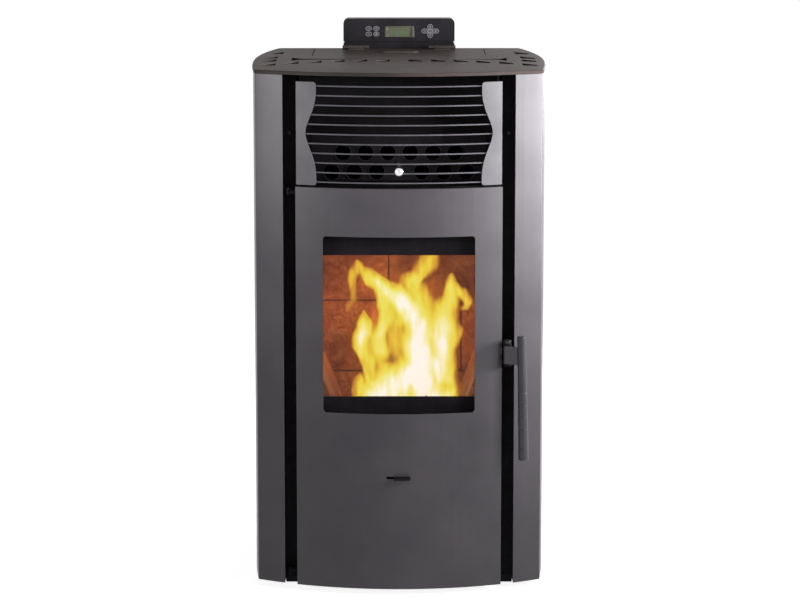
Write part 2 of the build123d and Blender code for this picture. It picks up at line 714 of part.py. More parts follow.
with BuildPart() as firebox:
    with BuildSketch(Plane.YZ.offset(-box_half)):
        span(box_front_y, box_rear_y, tray_floor_z, throat_top_z)
        span(smoke_front_y, box_rear_y, throat_top_z, smoke_top_z)
    extrude(amount=2 * box_half)
    with BuildSketch(Plane.YZ.offset(-inner_half)):
        span(
            box_front_y + box_wall,
            box_rear_y - box_wall,
            box_floor_z + box_wall,
            throat_top_z - box_wall,
        )
        span(
            smoke_front_y + box_wall,
            box_rear_y - box_wall,
            throat_top_z - box_wall,
            smoke_top_z - box_wall,
        )
        span(box_front_y + box_wall, box_rear_y - box_wall, tray_floor_z, box_floor_z)
    extrude(amount=2 * inner_half, mode=Mode.SUBTRACT)
    with BuildSketch(facing_front(box_front_y)):
        span(-door_opening_half, door_opening_half, *door_opening_z)
        span(-ash_opening_half, ash_opening_half, *ash_opening_z)
    extrude(amount=-box_wall, mode=Mode.SUBTRACT)
    # rails that the ash pan slides on
    with BuildSketch(Plane.YZ.offset(-inner_half)):
        span(box_front_y + box_wall, box_rear_y - box_wall, ash_rail_z - box_wall, ash_rail_z)
    extrude(amount=35)
    with BuildSketch(Plane.YZ.offset(inner_half)):
        span(box_front_y + box_wall, box_rear_y - box_wall, ash_rail_z - box_wall, ash_rail_z)
    extrude(amount=-35)
    # air box under the burn pot and the cradle that the pot hangs in
    with BuildSketch(Plane.XY.offset(air_box_z)):
        span(-cradle_half, cradle_half, cradle_y[0], box_rear_y - box_wall)
    extrude(amount=box_floor_z - air_box_z)
    with BuildSketch(Plane.XY.offset(box_floor_z + box_wall)):
        span(-cradle_half, cradle_half, *cradle_y)
    extrude(amount=cradle_top_z - box_floor_z - box_wall)
    with BuildSketch(Plane.XY.offset(air_box_z + box_wall)):
        span(
            -cradle_half + cradle_wall,
            cradle_half - cradle_wall,
            cradle_y[0] + cradle_wall,
            cradle_y[1] - cradle_wall,
        )
    extrude(amount=cradle_top_z - air_box_z, mode=Mode.SUBTRACT)
    # ash drop in front of the cradle
    with BuildSketch(Plane.XY.offset(box_floor_z)):
        span(-72, 72, box_front_y + 12, cradle_y[0] - 8)
    extrude(amount=box_wall, mode=Mode.SUBTRACT)
    # bores for tubes, scraper rod, air pipe, igniter, chute and smoke port
    with BuildSketch(facing_front(smoke_front_y)):
        with Locations(*tube_places):
            Circle(tube_r)
    extrude(amount=-300, mode=Mode.SUBTRACT)
    with BuildSketch(facing_front(smoke_front_y)):
        with Locations((0, scraper_z)):
            Circle(scraper_rod_r + running_gap)
    extrude(amount=-box_wall, mode=Mode.SUBTRACT)
    with BuildSketch(facing_front(cradle_y[1] - cradle_wall)):
        with Locations(air_pipe):
            Circle(air_pipe_r - sheet)
        with Locations(igniter_place):
            Circle(igniter_r + fit_gap)
    extrude(amount=-cradle_wall - 40, mode=Mode.SUBTRACT)
    with BuildSketch(facing_front(box_rear_y - box_wall)):
        span(-chute_half - 1, chute_half + 1, *chute_hole_z)
        span(*smoke_port_x, *smoke_port_z)
    extrude(amount=-box_wall, mode=Mode.SUBTRACT)
    # seams between the welded plates: side walls, front, rear, floor, air box, smoke box
    front_in = box_front_y + box_wall
    rear_in = box_rear_y - box_wall
    floor_top_z = box_floor_z + box_wall
    cradle_in = cradle_half - cradle_wall
    for side in (-1, 1):
        edge = sorted((side * inner_half, side * (inner_half - hairline)))
        seam(*edge, -far, far, 0, far)
        edge = sorted((side * cradle_in, side * (cradle_in + hairline)))
        seam(*edge, cradle_y[0] - 1, rear_in, air_box_z, box_floor_z)
        seam(*edge, cradle_y[0] - 1, cradle_y[1] + 1, floor_top_z, cradle_top_z + 1)
        outer = sorted((side * (inner_half - hairline), side * far))
        seam(*outer, -far, far, throat_top_z, throat_top_z + hairline)
    seam(-inner_half, inner_half, front_in, front_in + hairline, 0, throat_top_z + 1)
    seam(-inner_half, inner_half, rear_in - hairline, rear_in, 0, far)
    seam(-inner_half, inner_half, front_in, rear_in, box_floor_z - hairline, box_floor_z)
    seam(-inner_half, inner_half, front_in, rear_in, floor_top_z, floor_top_z + hairline)
    seam(
        -cradle_in,
        cradle_in,
        cradle_y[0] - 1,
        cradle_y[0] + cradle_wall,
        air_box_z + cradle_wall - hairline,
        air_box_z + cradle_wall,
    )
    seam(
        -inner_half,
        inner_half,
        smoke_front_y - hairline,
        smoke_front_y,
        throat_top_z - box_wall - 1,
        throat_top_z,
    )
    smoke_lid_z = smoke_top_z - box_wall
    seam(-inner_half, inner_half, smoke_front_y - 1, rear_in, smoke_lid_z - hairline, smoke_lid_z)
keep("firebox", firebox)

with BuildPart() as exchanger_tubes:
    with BuildSketch(facing_front(smoke_front_y)):
        with Locations(*tube_places):
            Circle(tube_r)
            Circle(tube_r - tube_wall, mode=Mode.SUBTRACT)
    extrude(amount=smoke_front_y - box_rear_y)
keep("exchanger_tubes", exchanger_tubes)

# ---------------------------------------------------------------- lining of the firebox
brick_front_y = -2.0
course_h = 129.6
first_joint_z = 346.0
joint_w = 2.5
joint_depth = 3.0
lining_top_z = 640.0
liner_t = 10.0
liner_slope = ((84.0, 256.0), (134.0, 388.0))
brick_side_gap = 1.0

lining_half = inner_half - brick_side_gap
brick_z = [box_floor_z + box_wall + fit_gap, *(first_joint_z + course_h * k for k in range(3))]

with BuildPart() as firebrick_lining:
    with BuildSketch(facing_front(box_rear_y - box_wall - fit_gap)):
        span(-lining_half, lining_half, brick_z[0], lining_top_z)
    extrude(amount=box_rear_y - box_wall - fit_gap - brick_front_y)
    with BuildSketch(facing_front(brick_front_y)):
        for course, joint_z in enumerate(brick_z[1:]):
            span(-lining_half, lining_half, joint_z - joint_w / 2, joint_z + joint_w / 2)
            joint_x = -18.4 if course % 2 else 112.0
            upper_z = min(joint_z + course_h, lining_top_z)
            span(joint_x - joint_w / 2, joint_x + joint_w / 2, joint_z, upper_z)
    extrude(amount=-joint_depth, mode=Mode.SUBTRACT)
    with BuildSketch(facing_front(brick_front_y)):
        span(-chute_half - 1, chute_half + 1, *chute_hole_z)
        with Locations(igniter_place):
            Circle(igniter_r + fit_gap)
    extrude(amount=-40, mode=Mode.SUBTRACT)
    with BuildSketch(facing_front(brick_front_y - fit_gap)):
        with BuildLine():
            Polyline(
                (lining_half, lining_top_z),
                (lining_half - liner_t, lining_top_z),
                (lining_half - liner_t, liner_slope[1][1]),
                liner_slope[0],
                (liner_slope[0][0], brick_z[0]),
                (liner_slope[0][0] + liner_t, brick_z[0]),
                (lining_half, liner_slope[1][1] - 2 * liner_t),
                close=True,
            )
        make_face()
        mirror(about=Plane.YZ)
    extrude(amount=brick_front_y - fit_gap - box_front_y - box_wall - fit_gap)
keep("firebrick_lining", firebrick_lining)

with BuildPart() as baffle_plate:
    with BuildSketch(Plane.XY.offset(lining_top_z)):
        span(-lining_half, lining_half, box_front_y + 45, box_rear_y - box_wall - fit_gap)
    extrude(amount=box_wall)
keep("baffle_plate", baffle_plate)

# ---------------------------------------------------------------- burn pot, ash pan, scraper
pot_gap = 2.0
pot_wall = 3.0
pot_floor_z = 250.0
pot_top_z = 316.0
pot_rim_t = 3.0
pot_half = cradle_half - cradle_wall - pot_gap
pot_y = (cradle_y[0] + cradle_wall + pot_gap, cradle_y[1] - cradle_wall - pot_gap)
pot_mid_y = (pot_y[0] + pot_y[1]) / 2

with BuildPart() as burn_pot:
    with BuildSketch(Plane.XY.offset(pot_floor_z)):
        span(-pot_half, pot_half, *pot_y)
    extrude(amount=pot_top_z - pot_floor_z)
    with BuildSketch(Plane.XY.offset(cradle_top_z)):
        span(-pot_half - 8, pot_half + 8, pot_y[0] - 8, pot_y[1] + 8)
    extrude(amount=pot_rim_t)
    with BuildSketch(Plane.XY.offset(pot_floor_z + pot_wall)):
        span(-pot_half + pot_wall, pot_half - pot_wall, pot_y[0] + pot_wall, pot_y[1] - pot_wall)
    extrude(amount=pot_top_z, mode=Mode.SUBTRACT)
    with BuildSketch(Plane.XY.offset(pot_floor_z)):
        with Locations((0, pot_mid_y)):
            with GridLocations(24, 22, 4, 4):
                RegularPolygon(3.0, 8)
    extrude(amount=pot_wall, mode=Mode.SUBTRACT)
keep("burn_pot", burn_pot)

pan_half = 125.0
pan_h = 112.0
pan_y = (box_front_y + box_wall + 3, box_rear_y - box_wall - 8)

with BuildPart() as ash_pan:
    with BuildSketch(Plane.XY.offset(ash_rail_z)):
        span(-pan_half, pan_half, *pan_y)
    extrude(amount=pan_h)
    fillet(ash_pan.edges().filter_by(Axis.Z), radius=6)
    offset(amount=-sheet, openings=ash_pan.faces().sort_by(Axis.Z)[-1])
    with BuildSketch(Plane.YZ.offset(-45)):
        with BuildLine():
            FilletPolyline(
                (pan_y[0] + 1, ash_rail_z + 78),
                (pan_y[0] - 12, ash_rail_z + 78),
                (pan_y[0] - 12, ash_rail_z + 60),
                radius=5,
            )
            offset(amount=sheet / 2)
        make_face()
    extrude(amount=90)
keep("ash_pan", ash_pan)

scraper_plate_y = (8.0, 11.0)
scraper_gap = 1.0
knob_r = 8.5
knob_y = crest_y - knob_out + knob_r

with BuildPart() as scraper:
    with BuildSketch(facing_front(scraper_plate_y[1])):
        with Locations((0, (tube_row_z[0] + tube_row_z[1]) / 2)):
            RectangleRounded(286, 84, 6)
        with Locations(*tube_places):
            Circle(tube_r + scraper_gap, mode=Mode.SUBTRACT)
    extrude(amount=scraper_plate_y[1] - scraper_plate_y[0])
    with BuildSketch(facing_front(scraper_plate_y[0])):
        with Locations((0, scraper_z)):
            Circle(scraper_rod_r)
    extrude(amount=scraper_plate_y[0] - knob_y - knob_r / 2)
keep("scraper", scraper)

with BuildPart() as scraper_knob:
    with Locations((0, knob_y, scraper_z)):
        Sphere(knob_r)
    with BuildSketch(facing_front(knob_y)):
        with Locations((0, scraper_z)):
            Circle(5.0)
    extrude(amount=-knob_r - 2.5)
    with BuildSketch(facing_front(knob_y + knob_r + 2.5)):
        with Locations((0, scraper_z)):
            Circle(scraper_rod_r)
    extrude(amount=knob_r + 2.5 + knob_r / 2, mode=Mode.SUBTRACT)
keep("scraper_knob", scraper_knob)

# ---------------------------------------------------------------- door
door_axis = (-190.0, crest_y + 53.0)  # vertical hinge axis in the left recess
door_pin_r = 4.0
arm_r = 6.0
arm_t = 6.0
arm_z = (30.0, 698.0)
door_flange = 12.0
window_half = 130.5
window_z = (321.6, 629.0)
window_corner_r = 6.0
slot_x = (-22.0, 20.0)
slot_z = (207.4, 212.0)
frame_y = crest_y + 38.0
frame_t = 4.0
frame_half = door_half - door_skin_t - fit_gap
frame_z = (22.0, 704.0)
frame_flange = 11.0
frame_opening_half = 134.0
frame_opening_z = (345.0, 593.0)
glass_lap = 5.5
glass_t = 4.0
glass_gasket_t = 1.5
guide_depth = 12.0
damper_t = 2.0
damper_size = (74.0, 30.0)
damper_tab = (-9.0, 19.5)
damper_tab_out = 15.0
damper_tab_t = 2.5
damper_y = crest_y + door_skin_t + 6.0

slot_mid_z = (slot_z[0] + slot_z[1]) / 2

with BuildPart() as door_skin:
    with BuildSketch(Plane.XY.offset(skirt_z)):
        add(front_strip(-door_half, door_half, door_skin_t))
        for side in (-1, 1):
            edge = side * (door_half - door_skin_t / 2)
            edge_y = bow_y(door_half, door_skin_t / 2)
            span(
                edge - door_skin_t / 2, edge + door_skin_t / 2, edge_y, bow_y(door_half) + door_flange
            )
    extrude(amount=door_top_z - skirt_z)
    for flange_z in (skirt_z, door_top_z - door_skin_t):
        with BuildSketch(Plane.XY.offset(flange_z)):
            add(front_strip(-door_half, door_half, door_flange))
        extrude(amount=door_skin_t)
    with BuildSketch(facing_front(crest_y - 1)):
        with Locations((0, (window_z[0] + window_z[1]) / 2)):
            RectangleRounded(2 * window_half, window_z[1] - window_z[0], window_corner_r)
        with Locations(((slot_x[0] + slot_x[1]) / 2, slot_mid_z)):
            SlotOverall(slot_x[1] - slot_x[0], slot_z[1] - slot_z[0])
    extrude(amount=-30, mode=Mode.SUBTRACT)
    # guides for the damper slider, welded to the back of the skin
    for side in (-1, 1):
        guide_z = slot_mid_z + side * (damper_size[1] / 2 + fit_gap + 1)
        with BuildSketch(Plane.YZ.offset(-30)):
            span(crest_y + 1.5, damper_y + damper_t + fit_gap + 2, guide_z - 1, guide_z + 1)
            lip_z = guide_z - side * 4
            span(
                damper_y + damper_t + fit_gap,
                damper_y + damper_t + fit_gap + 2,
                min(lip_z, guide_z) - 1,
                max(lip_z, guide_z) + 1,
            )
        extrude(amount=60)
keep("door_skin", door_skin)

with BuildPart() as damper_slider:
    with BuildSketch(facing_front(damper_y + damper_t)):
        with Locations(((damper_tab[0] + damper_tab[1]) / 2, slot_mid_z)):
            RectangleRounded(*damper_size, 3)
        with Locations((-22, slot_mid_z), (34, slot_mid_z)):
            Circle(4, mode=Mode.SUBTRACT)
    extrude(amount=damper_t)
    with BuildSketch(Plane.XY.offset(slot_mid_z - damper_tab_t / 2)):
        span(*damper_tab, crest_y - damper_tab_out, damper_y)
    extrude(amount=damper_tab_t)
    fillet(damper_slider.edges().filter_by(Axis.Z).group_by(Axis.Y)[0], radius=3)
keep("damper_slider", damper_slider)

with BuildPart() as door_frame:
    with BuildSketch(facing_front(frame_y + frame_t)):
        span(-frame_half, frame_half, *frame_z)
        span(-frame_opening_half, frame_opening_half, *frame_opening_z, Mode.SUBTRACT)
    extrude(amount=frame_t)
    with BuildSketch(facing_front(frame_y + frame_t)):
        span(-frame_half, frame_half, *frame_z)
        span(
            -frame_half + sheet,
            frame_half - sheet,
            frame_z[0] + sheet,
            frame_z[1] - sheet,
            Mode.SUBTRACT,
        )
    extrude(amount=-frame_flange)
    # hinge arms reach into the left recess
    for level in arm_z:
        with BuildSketch(Plane.XY.offset(level)):
            with Locations(door_axis):
                Circle(arm_r)
            span(door_axis[0], -frame_half + 1, door_axis[1] - arm_r + 1, door_axis[1] + arm_r)
            with Locations(door_axis):
                Circle(door_pin_r + running_gap, mode=Mode.SUBTRACT)
        extrude(amount=arm_t)
    # ears that carry the handle's pivot
    for level in bracket_z:
        with BuildSketch(Plane.XY.offset(level)):
            span(
                frame_half - 1,
                pivot[0] + 7,
                bow_y(door_half) + door_flange + 1,
                frame_y + frame_t + frame_flange,
            )
            span(pivot[0] - 7, pivot[0] + 7, pivot[1], frame_y + frame_t + frame_flange)
            with Locations(pivot):
                Circle(7)
                Circle(pivot_r + running_gap, mode=Mode.SUBTRACT)
        extrude(amount=bracket_t)
    # the rim is folded from strip and welded on behind the plate
    plate_back = frame_y + frame_t
    seam(-frame_half - 1, frame_half + 1, plate_back, plate_back + hairline, frame_z[0], frame_z[1])
keep("door_frame", door_frame)

frame_back_y = frame_y + frame_t
glass_half = frame_opening_half + glass_lap
glass_z = (frame_opening_z[0] - glass_lap, frame_opening_z[1] + glass_lap)
glass_front_y = frame_back_y + glass_gasket_t

with BuildPart() as door_glass:
    with BuildSketch(facing_front(glass_front_y + glass_t)):
        span(-glass_half, glass_half, *glass_z)
    extrude(amount=glass_t)
keep("door_glass", door_glass)

clip_y = glass_front_y + glass_t + 0.2
clip_t = 2.0

with BuildPart() as glass_clips:
    for side, edge_z in ((1, glass_z[1]), (-1, glass_z[0])):
        with BuildSketch(Plane.YZ.offset(-120)):
            leg = sorted((edge_z + side * fit_gap, edge_z + side * (fit_gap + clip_t)))
            lip = sorted((edge_z - side * 4, edge_z + side * (fit_gap + clip_t)))
            span(frame_back_y, clip_y + clip_t, *leg)
            span(clip_y, clip_y + clip_t, *lip)
        extrude(amount=240)
keep("glass_clips", glass_clips)

seal_w = 10.0
seal_half = box_half - 0.5
seal_z = (306.0, 646.0)

with BuildPart() as door_gaskets:
    with BuildSketch(facing_front(glass_front_y)):
        span(-glass_half, glass_half, *glass_z)
        span(-frame_opening_half, frame_opening_half, *frame_opening_z, Mode.SUBTRACT)
    extrude(amount=glass_gasket_t)
    with BuildSketch(facing_front(box_front_y - fit_gap)):
        with Locations((0, (seal_z[0] + seal_z[1]) / 2)):
            RectangleRounded(2 * seal_half, seal_z[1] - seal_z[0], 12)
            RectangleRounded(
                2 * (seal_half - seal_w),
                seal_z[1] - seal_z[0] - 2 * seal_w,
                2.5,
                mode=Mode.SUBTRACT,
            )
    extrude(amount=box_front_y - fit_gap - frame_back_y)
keep("door_gaskets", door_gaskets)

hinge_plate_t = 4.0

with BuildPart() as hinge_brackets:
    for level, reach in ((arm_z[0] - fit_gap - hinge_plate_t, 1), (arm_z[1] + arm_t + fit_gap, -1)):
        with BuildSketch(Plane.XY.offset(level)):
            with Locations(door_axis):
                Circle(arm_r)
            span(door_axis[0] - arm_r, door_axis[0] + arm_r, door_axis[1], post_y)
        extrude(amount=hinge_plate_t)
        start = level if reach > 0 else level + hinge_plate_t
        with BuildSketch(Plane.XY.offset(start)):
            with Locations(door_axis):
                Circle(door_pin_r)
        extrude(amount=reach * (hinge_plate_t + fit_gap + arm_t + 2))
keep("hinge_brackets", hinge_brackets)

# ---------------------------------------------------------------- handle and latch
grip_axis = (211.2, pivot[1] - 18.0)
grip_mid_z = (lever_z[0] + lever_z[1]) / 2
grip_lean = 0.0208  # the grip leans outwards a little towards its lower end
grip_z = (240.0, 457.0)
grip_top_r = 7.6
grip_bottom_r = 8.8
groove_z = (260.0, 293.0, 316.5, 337.0, 359.0)
groove_w = 2.0
groove_depth = 0.9
lever_t = 5.0
barrel_r = 6.5

reach_x, reach_y = grip_axis[0] - pivot[0], grip_axis[1] - pivot[1]
reach = hypot(reach_x, reach_y)
lever_shift = barrel_r - lever_t / 2  # the plate runs flush with the front of the barrel
lever_start = (
    pivot[0] + lever_shift * reach_y / reach,
    pivot[1] - lever_shift * reach_x / reach,
)
grip_frame = Plane(origin=(*grip_axis, grip_mid_z), x_dir=(1, 0, grip_lean), z_dir=(0, -1, 0))
grip_up = (-grip_lean, 0, 1)

with BuildPart() as handle_lever:
    with BuildSketch(Plane.XY.offset(lever_z[0])):
        with BuildLine():
            Line(lever_start, grip_axis)
            offset(amount=lever_t / 2)
        make_face()
    extrude(amount=lever_z[1] - lever_z[0])
    with BuildSketch(Plane.XY.offset(lever_z[0])):
        with Locations(pivot):
            Circle(barrel_r)
    extrude(amount=lever_z[1] - lever_z[0])
    # hook that reaches back behind the keeper
    with BuildSketch(Plane.XY.offset(hook_z[0])):
        hook_tip_y = pivot[1] + hook_reach
        span(pivot[0] - hook_w / 2, pivot[0] + hook_w / 2, pivot[1], hook_tip_y)
        span(
            pivot[0] - hook_w / 2 - hook_nose,
            pivot[0] + hook_w / 2,
            hook_tip_y - hook_w,
            hook_tip_y,
        )
    extrude(amount=hook_z[1] - hook_z[0])
    with BuildSketch(Plane.XY.offset(lever_z[0])):
        with Locations(pivot):
            Circle(pivot_r + running_gap)
    extrude(amount=lever_z[1] - lever_z[0], mode=Mode.SUBTRACT)
    with BuildSketch(Plane(origin=(*grip_axis, grip_mid_z), x_dir=(0, 1, 0), z_dir=grip_up)):
        Circle(grip_top_r + 0.3)
    extrude(amount=30, both=True, mode=Mode.SUBTRACT)
keep("handle_lever", handle_lever)


def grip_radius(z):
    """the grip tapers evenly from its lower to its upper end"""
    share = (z - grip_z[0]) / (grip_z[1] - grip_z[0])
    return grip_bottom_r + (grip_top_r - grip_bottom_r) * share


with BuildPart() as handle_grip:
    with BuildSketch(grip_frame):
        with BuildLine():
            Polyline(
                (0, grip_z[0] - grip_mid_z),
                (grip_bottom_r, grip_z[0] - grip_mid_z),
                (grip_top_r, grip_z[1] - grip_mid_z),
                (0, grip_z[1] - grip_mid_z),
                close=True,
            )
        make_face()
        for level in groove_z:
            ring_r = grip_radius(level)
            low = level - grip_mid_z
            span(ring_r - groove_depth, ring_r + 1, low, low + groove_w, Mode.SUBTRACT)
    revolve(axis=Axis((*grip_axis, grip_mid_z), grip_up))
    ends = handle_grip.faces().filter_by(GeomType.PLANE).sort_by(Axis.Z)
    fillet(ends[0].edges() + ends[-1].edges(), radius=2.5)
keep("handle_grip", handle_grip)

with BuildPart() as handle_pin:
    with BuildSketch(Plane.XY.offset(bracket_z[0])):
        with Locations(pivot):
            Circle(pivot_r)
    extrude(amount=bracket_z[1] + bracket_t + fit_gap - bracket_z[0])
    with BuildSketch(Plane.XY.offset(bracket_z[1] + bracket_t + fit_gap)):
        with Locations(pivot):
            RegularPolygon(6.2, 6)
    extrude(amount=5.5)
keep("handle_pin", handle_pin)

# ---------------------------------------------------------------- pellet feed
auger_start = (0.0, 175.0, 315.0)
auger_length = 165.0
auger_plane = Plane(origin=auger_start, x_dir=(1, 0, 0), z_dir=(0, -1, 1))
auger_tube_r = 30.0
auger_bore_r = 27.0
flight_r = 25.0
flight_pitch = 40.0
flight_t = 4.0
auger_shaft_r = 9.0
tube_cap = 4.0
collar_half = 29.0
collar_y = (105.0, 165.0)
collar_bottom_z = 350.0
chute_wall = 2.5
chute_outer = ((62, 452), (30, 452), (-1.5, 412), (-1.5, 362), (30, 372), (62, 404))
chute_inner = ((59.5, 449.5), (31, 449.5), (-4, 405), (-4, 365.6), (29.5, 374.6), (59.5, 404))

with BuildPart() as auger_tube:
    with BuildSketch(auger_plane):
        Circle(auger_tube_r)
    extrude(amount=auger_length)
    with BuildSketch(Plane.XY.offset(collar_bottom_z)):
        span(-collar_half, collar_half, *collar_y)
    extrude(amount=mouth_z - collar_bottom_z)
    with BuildSketch(Plane.YZ.offset(-chute_half)):
        Polygon(*chute_outer, align=None)
    extrude(amount=2 * chute_half)
    with BuildSketch(auger_plane):
        Circle(auger_bore_r)
    extrude(amount=auger_length - tube_cap, mode=Mode.SUBTRACT)
    with BuildSketch(Plane.XY.offset(collar_bottom_z + 30)):
        span(
            -collar_half + sheet, collar_half - sheet, collar_y[0] + sheet, collar_y[1] - sheet
        )
    extrude(amount=mouth_z, mode=Mode.SUBTRACT)
    with BuildSketch(Plane.YZ.offset(-chute_half + chute_wall)):
        Polygon(*chute_inner, align=None)
    extrude(amount=2 * (chute_half - chute_wall), mode=Mode.SUBTRACT)
keep("auger_tube", auger_tube)

flight_length = auger_length - tube_cap - 14.0
flight_mid_r = (auger_shaft_r + flight_r) / 2

with BuildPart() as auger_screw:
    with BuildSketch(auger_plane.offset(-20)):
        Circle(auger_shaft_r)
    extrude(amount=auger_length - tube_cap + 19)
    with BuildLine() as turns:
        Helix(
            flight_pitch,
            flight_length,
            flight_mid_r,
            center=auger_plane.offset(3).origin,
            direction=auger_plane.z_dir,
        )
    with BuildSketch(
        Plane(
            origin=turns.edges()[0] @ 0, z_dir=turns.edges()[0] % 0, x_dir=auger_plane.z_dir
        )
    ):
        Rectangle(flight_t, flight_r - auger_shaft_r + 1)
    sweep(path=turns.edges()[0], is_frenet=True)
keep("auger_screw", auger_screw)

motor_r = 30.0
motor_l = 46.0

with BuildPart() as auger_gearmotor:
    with BuildSketch(auger_plane.offset(-fit_gap)):
        Circle(auger_tube_r)
        Circle(auger_shaft_r + 0.8, mode=Mode.SUBTRACT)
    extrude(amount=-4)
    with BuildSketch(auger_plane.offset(-fit_gap - 4)):
        RectangleRounded(70, 60, 6)
        Circle(auger_shaft_r + 0.8, mode=Mode.SUBTRACT)
    extrude(amount=-22)
    with BuildSketch(auger_plane.offset(-fit_gap - 26)):
        Circle(motor_r)
    extrude(amount=-motor_l + 12)
    chamfer(auger_gearmotor.edges().filter_by(GeomType.CIRCLE).sort_by(Axis.Y)[-1], length=2)
keep("auger_gearmotor", auger_gearmotor)

# ---------------------------------------------------------------- exhaust blower
blower_x = (-146.0, -96.0)
blower_center = (120.0, 165.0)  # Y and Z of the shaft
scroll_r = 75.0
scroll_wall = 3.0
blower_wheel_r = 60.0
blower_hub_r = 9.0
blower_blades = 12
spigot_r = 40.0
spigot_wall = 2.5
collar_step = 2.0  # the shoulder that a pushed-on pipe stops at
spigot_z = 130.0
spigot_x = (blower_x[0] + blower_x[1]) / 2 - 1.0
scroll_box_z = (spigot_z - spigot_r - 5, 300.0)
blower_shaft_r = 4.0
smoke_riser_top = 697.0
blower_bore = 0.5

with BuildPart() as blower_housing:
    with BuildSketch(Plane.YZ.offset(blower_x[0])):
        with Locations(blower_center):
            Circle(scroll_r)
        span(blower_center[0], 214, spigot_z - 42, spigot_z + 42)
        span(34, 74, 165, scroll_box_z[1])
        span(box_rear_y + fit_gap, 74, 250, scroll_box_z[1])
        span(box_rear_y + fit_gap, 46, 250, smoke_riser_top)
    extrude(amount=blower_x[1] - blower_x[0])
    with BuildSketch(Plane.YZ.offset(blower_x[0] + scroll_wall)):
        with Locations(blower_center):
            Circle(scroll_r - scroll_wall)
        span(blower_center[0], 214 - scroll_wall, spigot_z - 39, spigot_z + 39)
        span(34 + scroll_wall, 74 - scroll_wall, 165, scroll_box_z[1] - scroll_wall)
        span(
            box_rear_y + fit_gap + scroll_wall,
            46 - scroll_wall,
            250 + scroll_wall,
            smoke_riser_top - scroll_wall,
        )
    extrude(amount=blower_x[1] - blower_x[0] - 2 * scroll_wall, mode=Mode.SUBTRACT)
    with BuildSketch(facing_front(box_rear_y)):
        span(*smoke_port_x, *smoke_port_z)
    extrude(amount=-10, mode=Mode.SUBTRACT)
    with BuildSketch(facing_front(rear_y)):
        with Locations((spigot_x, spigot_z)):
            Circle(spigot_r + collar_step)
    extrude(amount=rear_y - 214 + scroll_wall)
    with BuildSketch(facing_front(rear_y)):
        with Locations((spigot_x, spigot_z)):
            Circle(spigot_r)
    extrude(amount=-spigot_out)
    with BuildSketch(facing_front(200)):
        with Locations((spigot_x, spigot_z)):
            Circle(spigot_r - spigot_wall)
    extrude(amount=-120, mode=Mode.SUBTRACT)
    with BuildSketch(Plane.YZ.offset(blower_x[0])):
        with Locations(blower_center):
            Circle(blower_shaft_r + blower_bore)
    extrude(amount=scroll_wall, mode=Mode.SUBTRACT)
    with BuildSketch(Plane.YZ.offset(blower_x[0])):
        with Locations(blower_center):
            Circle(32)
            Circle(28, mode=Mode.SUBTRACT)
    extrude(amount=-8)
    # seams: two side plates, the wrap between them and the spigot
    side_in = (blower_x[0] + scroll_wall, blower_x[1] - scroll_wall)
    seam(side_in[0], side_in[0] + hairline, -far, 214, 0, far)
    seam(side_in[1] - hairline, side_in[1], -far, 214, 0, far)
    seam(-far, far, 214, 214 + hairline, 0, far)
    seam(-far, far, -far, 214, scroll_box_z[1], scroll_box_z[1] + hairline)
keep("blower_housing", blower_housing)

with BuildPart() as blower_motor:
    with BuildSketch(Plane.YZ.offset(blower_x[0] - 8 - fit_gap)):
        with Locations(blower_center):
            Circle(34)
            Circle(blower_shaft_r + blower_bore, mode=Mode.SUBTRACT)
    extrude(amount=-4)
    with BuildSketch(Plane.YZ.offset(blower_x[0] - 12 - fit_gap)):
        with Locations(blower_center):
            Circle(30)
            Circle(blower_shaft_r + blower_bore, mode=Mode.SUBTRACT)
    extrude(amount=-36)
keep("blower_motor", blower_motor)

with BuildPart() as blower_wheel:
    with BuildSketch(Plane.YZ.offset(blower_x[0] + 8)):
        with Locations(blower_center):
            Circle(blower_wheel_r)
    extrude(amount=2)
    with BuildSketch(Plane.YZ.offset(blower_x[0] + 8)):
        with Locations(blower_center):
            Circle(blower_hub_r)
            with PolarLocations((blower_wheel_r + 22) / 2, blower_blades):
                Rectangle(blower_wheel_r - 23, 2)
    extrude(amount=30)
    with BuildSketch(Plane.YZ.offset(blower_x[0] + 8)):
        with Locations(blower_center):
            Circle(blower_shaft_r)
    extrude(amount=-46)
keep("blower_wheel", blower_wheel)

# ---------------------------------------------------------------- room fan and air ways
fan_center = (180.0, 96.0)
fan_r = 30.0
fan_x = (-30.0, 150.0)
fan_case_y = (66.0, 222.0)
fan_case_z = (56.0, 136.0)
fan_shaft_r = 4.0
fan_blades = 16
riser_x = (60.0, 150.0)
duct_back = (box_rear_y + fit_gap, 46.0)
plenum_z = (700.0, 806.0)

